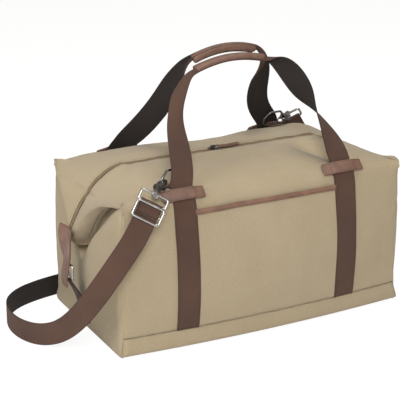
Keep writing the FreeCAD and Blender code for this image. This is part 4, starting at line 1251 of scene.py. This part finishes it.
def handle_rows(stations):
    """Even rows of a handle's webbing."""
    rows = [(x, y, z, *unit(np.array([wx, wy, wz], float)), half * WEB_HALF / WIDE, curl, 1)
            for x, y, z, wx, wy, wz, curl, half in stations]
    return evenly(spline(rows, 260), 3.0)


def grip_section(half_wide, half_tall, seam):
    """Ring of (across, up) for a leather wrap with its sewn seam below."""
    ring = []
    for step in range(28):
        angle = math.pi * 2 * step / 28 - math.pi / 2
        across = half_wide * math.copysign(abs(math.cos(angle)) ** 0.75, math.cos(angle))
        up = half_tall * math.copysign(abs(math.sin(angle)) ** 0.85, math.sin(angle))
        if step == 0:
            ring.extend([(1.5, -half_tall), (1.5, -half_tall - seam), (-1.5, -half_tall - seam),
                         (-1.5, -half_tall)])
        else:
            ring.append((across, up))
    return ring[::-1]


def build_handle(side, stations):
    """Webbing handle with its leather wrap, bending where it leaves the tabs."""
    rows = handle_rows(stations)
    body = side + "_carry"
    piece = band(side + "_handle_webbing", rows, sizes().webbing / MM, webbing())
    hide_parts(side + "_handle")
    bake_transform(piece)
    grip_from, grip_to = (-73, 60) if side == "front" else (-57, 62)
    tall = 5.0 if side == "front" else 6.8
    inside = rows[(rows[:, 0] > grip_from) & (rows[:, 0] < grip_to) & (rows[:, 2] > 400)]
    inside = evenly(inside, 4.0)
    along = tangents(inside[:, :3])
    across = unit(np.cross(np.array([0, 0, 1.0]), along))
    above = np.cross(along, across)
    sections, seam_front, seam_back = [], [], []
    count = len(inside)
    for k in range(count):
        near_end = min(k, count - 1 - k)
        fuller = 1.0 + 0.05 * math.sin(k * 0.9) * 0.6
        ring = grip_section(8.6 * fuller, tall, 2.4 if near_end > 0 else 1.6)
        shrink = 0.93 if near_end == 0 else 1.0
        centre = inside[k, :3]
        sections.append([centre + across[k] * a * shrink + above[k] * u * shrink for a, u in ring])
        seam_front.append(centre - across[k] * 1.75 - above[k] * (tall + 1.4))
        seam_back.append(centre + across[k] * 1.75 - above[k] * (tall + 1.4))
    grip = tube(side + "_grip_leather", sections, leather())
    settle(grip, body, [side + "_grip"])
    sew(body, "brown", seam_front[1:-1], seam_back[1:-1])
    return rows


# End closures ----------------------------------------------------------------------------

def closure_rows(sign, stations):
    """Rows of a band down the end of the bag; a station is outward, height, half width."""
    return [(sign * out, 0, z, 0, sign, 0, half, curl, swell) for out, z, half, curl, swell in stations]


def build_end_closure(label, sign):
    """Leather shield with its tongue, and the webbing strap below it."""
    top = high("end_tab_" + label, 2)
    out = TIP_X + 2.6
    buckle = BUCKLE_Z
    shield = [(out - 3.0, top + 1, 24, 0.28, 1), (out - 2.0, top - 3, 26, 0.28, 1),
              (out - 0.5, top - 12, 27, 0.3, 1), (out + 0.6, top - 25, 25, 0.28, 1),
              (out + 1.0, top - 40, 20.5, 0.2, 1), (out + 1.2, top - 53, 15.5, 0.1, 1),
              (out + 1.6, buckle + 22, 13, 0, 1), (out + 3.4, buckle + 10, 12, 0, 1),
              (out + 7.0, buckle - 2, 12, 0, 1), (out + 7.6, buckle - 14, 12, 0, 1),
              (out + 6.8, buckle - 24, 11.5, 0, 1), (out + 6.5, buckle - 28, 8, 0, 0.8)]
    rows = evenly(spline(closure_rows(sign, shield), 120), 2.0)
    tab = band("end_tab_leather_" + label, rows, 2.6, leather())
    settle(tab, "root", ["end_tab_" + label])
    upper = rows[rows[:, 2] > buckle + 22][2:]
    for side in (-1, 1):
        sew("root", "brown", band_edge(upper, 2.4, 1.45, side))
    wall = HALF_LENGTH + 3
    strap = [(wall - 1, 6, 19, 0, 1), (wall + 4, 20, 19, 0, 1), (wall + 9, 45, 19, 0.02, 1),
             (wall + 16, 65, 18.5, 0.03, 1), (wall + 26, buckle - 26, 16, 0.0, 1),
             (TIP_X + 2, buckle - 18, 14, 0, 1), (TIP_X + 3.8, buckle - 13, 13, 0, 1)]
    rows = evenly(spline(closure_rows(sign, strap), 100), 2.5)
    lower = band("end_strap_webbing_" + label, rows, sizes().webbing / MM, webbing())
    settle(lower, "root", ["end_strap_" + label])


# Rings, hooks and the shoulder strap -----------------------------------------------------

def paint(node, finish):
    """Gives a frame part a finish of its own."""
    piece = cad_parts[node]
    piece.data.materials.clear()
    piece.data.materials.append(finish)


LOOP_RADIUS = 3.4
LOOP_HALF = 11.5


def build_ring_loops():
    """Leather loops that hold the D-rings to the roof."""
    for side in ("front", "back"):
        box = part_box("d_ring_loop_" + side)
        middle = np.array((box[0] + box[1]) / 2) / MM
        sign = -1 if side == "front" else 1
        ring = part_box("d_ring_" + side)
        low_bar = np.array([middle[0], sign * 112.8, ring[0][2] / MM + 2.0])
        rows = []
        for angle in np.linspace(-150, 110, 22):
            turn = math.radians(angle)
            rows.append((middle[0], low_bar[1] + sign * LOOP_RADIUS * math.cos(turn),
                         low_bar[2] + LOOP_RADIUS * math.sin(turn), 1, 0, 0, LOOP_HALF, 0, 1))
        tail = [(middle[0], low_bar[1] - sign * share, low_bar[2] - 2.6 + share * 0.28,
                 1, 0, 0, LOOP_HALF, 0, 1) for share in (4, 8, 13, 18)]
        piece = band("ring_loop_leather_" + side, rows[::-1] + tail, 1.8, leather())
        settle(piece, "root", ["d_ring_loop_" + side])


# Route of the strap's middle line, in millimetres, and the direction of its width.
STRAP_ROUTE = [
    ((-229.0, -155.5, 247.6), (0.79, -0.39, -0.46)), ((-245, -163, 226), (0.79, -0.39, -0.46)),
    ((-263, -167, 204), (0.79, -0.39, -0.46)), ((-287, -166, 174), (0.75, -0.45, -0.48)),
    ((-313, -151, 128), (0.62, -0.50, -0.60)), ((-333, -118, 78), (0.40, -0.40, -0.82)),
    ((-350, -80, 42), (0.2, -0.2, -0.96)), ((-369, -40, 24), (0, -0.05, -1)),
    ((-386, 3, 19.3), (0, 0, -1)), ((-391, 50, 19.3), (0, 0, -1)), ((-379, 98, 19.3), (0, 0, -1)),
    ((-346, 132, 19.3), (0, 0, -1)), ((-300, 150, 19.3), (0, 0, -1)), ((-246, 160, 19.3), (0, 0, -1)),
    ((-188, 166, 19.3), (0, 0, -1)), ((-128, 172, 19.3), (0, 0, -1)), ((-68, 171, 19.3), (0, 0, -1)),
    ((-8, 174, 19.3), (0, 0, -1)), ((52, 172, 19.3), (0, 0, -1)), ((110, 177, 19.3), (0, 0, -1)),
    ((162, 182, 22), (0.05, 0, -1)), ((205, 186, 36), (0.3, 0.1, -0.95)),
    ((237, 188, 68), (0.7, 0.3, -0.6)), ((252, 187, 112), (0.9, 0.4, -0.2)),
    ((255, 180, 158), (0.9, 0.42, 0)), ((250, 170, 203), (0.85, -0.42, 0.35)),
    ((242, 162, 229), (0.79, -0.39, 0.46)), ((229.0, 155.5, 247.6), (0.79, -0.39, 0.46)),
]
STRAP_HALF = 19.0


def nurbs_points(points):
    """Points read from the smooth curve that the route's points pull towards."""
    data = bpy.data.curves.new("route", "CURVE")
    data.dimensions = "3D"
    data.resolution_u = 12
    line = data.splines.new("NURBS")
    line.points.add(len(points) - 1)
    for point, place in zip(line.points, points):
        point.co = (*(np.array(place) * MM), 1)
    line.order_u = 3
    line.use_endpoint_u = True
    item = bpy.data.objects.new("route", data)
    bpy.context.scene.collection.objects.link(item)
    graph = bpy.context.evaluated_depsgraph_get()
    read = bpy.data.meshes.new_from_object(item.evaluated_get(graph))
    result = np.array([v.co[:] for v in read.vertices]) / MM
    bpy.data.objects.remove(item)
    return result


def build_shoulder_strap():
    """Loose webbing strap from the front left hook, round the back, to the back right one."""
    line = nurbs_points([point for point, _ in STRAP_ROUTE])
    places = np.array([point for point, _ in STRAP_ROUTE], float)
    along = tangents(places)
    width = np.array([direction for _, direction in STRAP_ROUTE], float)
    width = unit(width - along * np.sum(width * along, axis=1, keepdims=True))
    edge = nurbs_points(places + width * STRAP_HALF)
    rows = np.zeros((len(line), 9))
    rows[:, :3] = line
    rows[:, 3:6] = unit(line - edge)
    rows[:, 6] = STRAP_HALF
    rows[:, 8] = 1
    strap = band("shoulder_strap_webbing", rows, 2.2, webbing())
    settle(strap, "root", ["shoulder_strap"])
    on_it = ["strap_adjuster"]
    for side in ("front", "back"):
        on_it += [name + "_" + side for name in ("swivel_loop", "hook_body", "hook_gate",
                                                 "gate_pin", "gate_spring")]
    turns = [build_strap_turn("front"), build_strap_turn("back")]
    length = float(np.sum(np.linalg.norm(np.diff(line, axis=0), axis=1))) * MM
    print("strap length %.4f" % length)


SWIVEL = np.array([-207, -146, 277.0])
STRAP_AXIS = unit(np.array([-0.58, -0.25, -0.776]))
BAR_AXIS = np.array([0.793, -0.394, -0.464])
BAR_AXIS = unit(BAR_AXIS - STRAP_AXIS * np.dot(BAR_AXIS, STRAP_AXIS))


def build_strap_turn(side):
    """Webbing turned round the swivel loop's lower bar."""
    face = np.cross(STRAP_AXIS, BAR_AXIS)
    if face[1] > 0:
        face = -face
    lower, centre, radius = 17.0, 17.0 + 15.5, 3.4
    rows = []
    for first, angles in ((centre, np.linspace(-90, 90, 12)), (lower, np.linspace(90, 270, 12))):
        for angle in angles:
            turn = math.radians(angle)
            place = first + radius * math.cos(turn)
            rows.append(SWIVEL + STRAP_AXIS * place + face * radius * math.sin(turn))
    rows = evenly(np.array(rows + [rows[0]]), 1.6)
    table = np.zeros((len(rows), 9))
    table[:, :3] = rows
    table[:, 3:6] = BAR_AXIS
    table[:, 6] = STRAP_HALF - 0.3
    table[:, 8] = 1
    if side == "back":
        table[:, :2] *= -1
        table[:, 3:5] *= -1
    piece = band("strap_turn_webbing_" + side, table, 2.1, webbing(), ends=False)
    return settle(piece, "root", ["strap_turn_" + side])


def paint_hardware():
    dark = ["zip_slider", "slider_bail", "puller_link"]
    bright = ["strap_adjuster"]
    for side in ("front", "back"):
        dark += [name + "_" + side for name in ("d_ring", "hook_body", "hook_gate", "gate_pin",
                                                "gate_spring")]
        bright.append("swivel_loop_" + side)
    for side in ("left", "right"):
        bright += ["end_buckle_" + side, "end_prong_" + side]
    for node in dark:
        paint(node, dark_metal())
    for node in bright:
        paint(node, bright_metal())
    paint("base_board", board())


def build_stitches():
    """Every noted seam, as rows of real stitches."""
    unit_stitch = small_mesh("stitch", "stitch")
    pitch, thread = sizes().stitch, sizes().thread
    finish_of = {"brown": brown_thread, "khaki": khaki_thread}
    trees = {}
    for (body, colour), paths in stitch_paths.items():
        if colour not in trees:
            trees[colour] = repeat_tree(colour + "_stitches", unit_stitch, finish_of[colour](), False)
        piece = repeated("%s_stitches_%s" % (colour, body), paths, trees[colour],
                         {"Spacing": pitch, "Length": pitch * 0.74, "Width": thread,
                          "Height": thread * 0.8})
        settle(piece, body)


# Stage -----------------------------------------------------------------------------------

AZIMUTH, ELEVATION, DISTANCE = -27.4, 19.8, 2.5
LOOK_AT = Vector((-0.0526, 0.0, 0.1956))
LENS, SENSOR = 130.4, 36.0


def build_stage():
    """Pale floor, soft lamps and the camera."""
    scene = bpy.context.scene
    scene.view_settings.view_transform = "Standard"
    turn, rise = math.radians(AZIMUTH), math.radians(ELEVATION)
    back = Vector((math.sin(turn) * math.cos(rise), -math.cos(turn) * math.cos(rise), math.sin(rise)))
    camera = bpy.data.objects.new("camera", bpy.data.cameras.new("camera"))
    camera.location = LOOK_AT + back * DISTANCE
    camera.rotation_mode = "QUATERNION"
    camera.rotation_quaternion = (-back).to_track_quat("-Z", "Y")
    camera.data.lens = LENS
    camera.data.sensor_width = SENSOR
    camera.data.clip_end = 60
    scene.collection.objects.link(camera)
    scene.camera = camera
    floor_size = 6.0
    floor = make_mesh("floor", np.array([(-1, -1, 0), (1, -1, 0), (1, 1, 0), (-1, 1, 0)])
                      * floor_size / MM, [(0, 1, 2, 3)], floor_finish())
    for name, place, size, power in (("key", (-1.2, -2.5, 2.0), 1.3, 88),
                                     ("side", (-2.6, -0.5, 1.3), 1.6, 34),
                                     ("top", (0.6, 0.2, 2.8), 1.6, 34)):
        lamp = bpy.data.lights.new(name, "AREA")
        lamp.shape = "DISK"
        lamp.size = size
        lamp.energy = power
        item = bpy.data.objects.new(name, lamp)
        item.location = place
        item.rotation_mode = "QUATERNION"
        item.rotation_quaternion = (Vector((0, 0, 0.15)) - Vector(place)).to_track_quat("-Z", "Y")
        scene.collection.objects.link(item)
    world = bpy.data.worlds.new("studio")
    world.use_nodes = True
    scene.world = world
    tree = world.node_tree
    ground = tree.nodes["Background"]
    ground.inputs["Color"].default_value = (1.0, 0.93, 0.82, 1)
    ground.inputs["Strength"].default_value = 0.3
    white = add_node(tree, "ShaderNodeBackground", {"Color": (1, 1, 1, 1), "Strength": 1.0})
    path = add_node(tree, "ShaderNodeLightPath")
    mixer = add_node(tree, "ShaderNodeMixShader", {0: path.outputs["Is Camera Ray"],
                                                   1: ground.outputs[0], 2: white.outputs[0]})
    tree.links.new(mixer.outputs[0], tree.nodes["World Output"].inputs[0])


def floor_finish():
    """Pale floor that keeps the bag's shadow and fades to white round it."""
    made = Finish("studio_floor", tuple(finishes().floor), 0.9)
    path = made.node("ShaderNodeLightPath")
    glow = made.node("ShaderNodeEmission", {"Color": (1, 1, 1, 1), "Strength": 1.1})
    share = made.math("MULTIPLY", path.outputs["Is Camera Ray"], 0.8)
    mixer = made.node("ShaderNodeMixShader", {0: share, 1: made.shader.outputs[0],
                                              2: glow.outputs[0]})
    made.tree.links.new(mixer.outputs[0], made.tree.nodes["Material Output"].inputs[0])
    return made.data


# Operators -------------------------------------------------------------------------------

class StageOperator(bpy.types.Operator):
    """Set the camera, the lamps and the floor"""
    bl_idname = "weekender.stage"
    bl_label = "Stage"

    def execute(self, context):
        build_stage()
        return {"FINISHED"}


class CanvasOperator(bpy.types.Operator):
    """Cut and sag the canvas: front, back, ends and base"""
    bl_idname = "weekender.canvas"
    bl_label = "Canvas"

    def execute(self, context):
        for side, sign, seed in (("front", -1, 11.0), ("back", 1, 41.0)):
            piece = canvas_half(side + "_canvas", sign, seed)
            graph = bpy.context.evaluated_depsgraph_get()
            skins[side] = BVHTree.FromObject(piece, graph)
            zip_lines[side] = boundary_run(
                piece, lambda p: abs(p.y) < HALF_ZIP + 2.5 and p.z > 150)
            thicken(piece, sizes().cloth)
            settle(piece, "root", [side + "_panel"])
        edges = [evenly(resampled(np.array(zip_lines[side]), 400), 2.0)
                 for side in ("front", "back")]
        size = min(len(edges[0]), len(edges[1]))
        front = resampled(edges[0], size)
        back = resampled(edges[1], size)
        zip_lines["middle"] = (front + back) / 2
        zip_lines["middle"][:, 1] = 0
        build_end_panel("end_canvas_left", -1, 61.0)
        build_end_panel("end_canvas_right", 1, 83.0)
        build_base()
        return {"FINISHED"}


class LiningOperator(bpy.types.Operator):
    """Hang the lining inside"""
    bl_idname = "weekender.lining"
    bl_label = "Lining"

    def execute(self, context):
        build_lining()
        return {"FINISHED"}


class ZipOperator(bpy.types.Operator):
    """Set the zip's tapes, teeth and pull"""
    bl_idname = "weekender.zip"
    bl_label = "Zip"

    def execute(self, context):
        build_zip()
        build_puller()
        return {"FINISHED"}


class PocketOperator(bpy.types.Operator):
    """Lay the slip pocket and its bound edge on the front"""
    bl_idname = "weekender.pocket"
    bl_label = "Slip pocket"

    def execute(self, context):
        build_pocket()
        return {"FINISHED"}


class HandlesOperator(bpy.types.Operator):
    """Sew on the legs, tabs, handles and grips"""
    bl_idname = "weekender.handles"
    bl_label = "Handles"

    def execute(self, context):
        build_legs()
        build_tabs()
        build_handle("front", FRONT_HANDLE)
        build_handle("back", BACK_HANDLE)
        return {"FINISHED"}


class ClosuresOperator(bpy.types.Operator):
    """Buckle down both zip ends"""
    bl_idname = "weekender.closures"
    bl_label = "End closures"

    def execute(self, context):
        build_end_closure("left", -1)
        build_end_closure("right", 1)
        return {"FINISHED"}


class StrapOperator(bpy.types.Operator):
    """Clip on the shoulder strap and finish the metal"""
    bl_idname = "weekender.strap"
    bl_label = "Shoulder strap"

    def execute(self, context):
        build_ring_loops()
        build_shoulder_strap()
        paint_hardware()
        return {"FINISHED"}


class StitchesOperator(bpy.types.Operator):
    """Stitch every seam that was noted"""
    bl_idname = "weekender.stitches"
    bl_label = "Stitches"

    def execute(self, context):
        build_stitches()
        return {"FINISHED"}


OPERATORS = (StageOperator, CanvasOperator, LiningOperator, ZipOperator, PocketOperator,
             HandlesOperator, ClosuresOperator, StrapOperator, StitchesOperator)


class BagPanel(bpy.types.Panel):
    """Lists the bag's groups of pieces"""
    bl_idname = "VIEW3D_PT_weekender"
    bl_label = "Weekender bag"
    bl_space_type = "VIEW_3D"
    bl_region_type = "UI"
    bl_category = "Weekender"

    def draw(self, context):
        for operator in OPERATORS:
            self.layout.operator(operator.bl_idname)
        for group in (context.scene.bag_sizes, context.scene.bag_finishes):
            for name in group.__annotations__:
                self.layout.prop(group, name)


CLASSES = (BagSizes, BagFinishes, *OPERATORS, BagPanel)


def register():
    for item in CLASSES:
        bpy.utils.register_class(item)
    bpy.types.Scene.bag_sizes = PointerProperty(type=BagSizes)
    bpy.types.Scene.bag_finishes = PointerProperty(type=BagFinishes)


def unregister():
    del bpy.types.Scene.bag_finishes
    del bpy.types.Scene.bag_sizes
    for item in reversed(CLASSES):
        bpy.utils.unregister_class(item)


def main():
    register()
    for operator in OPERATORS:
        group, name = operator.bl_idname.split(".")
        getattr(getattr(bpy.ops, group), name)()
    bpy.context.view_layer.update()


if __name__ == "__main__":
    main()
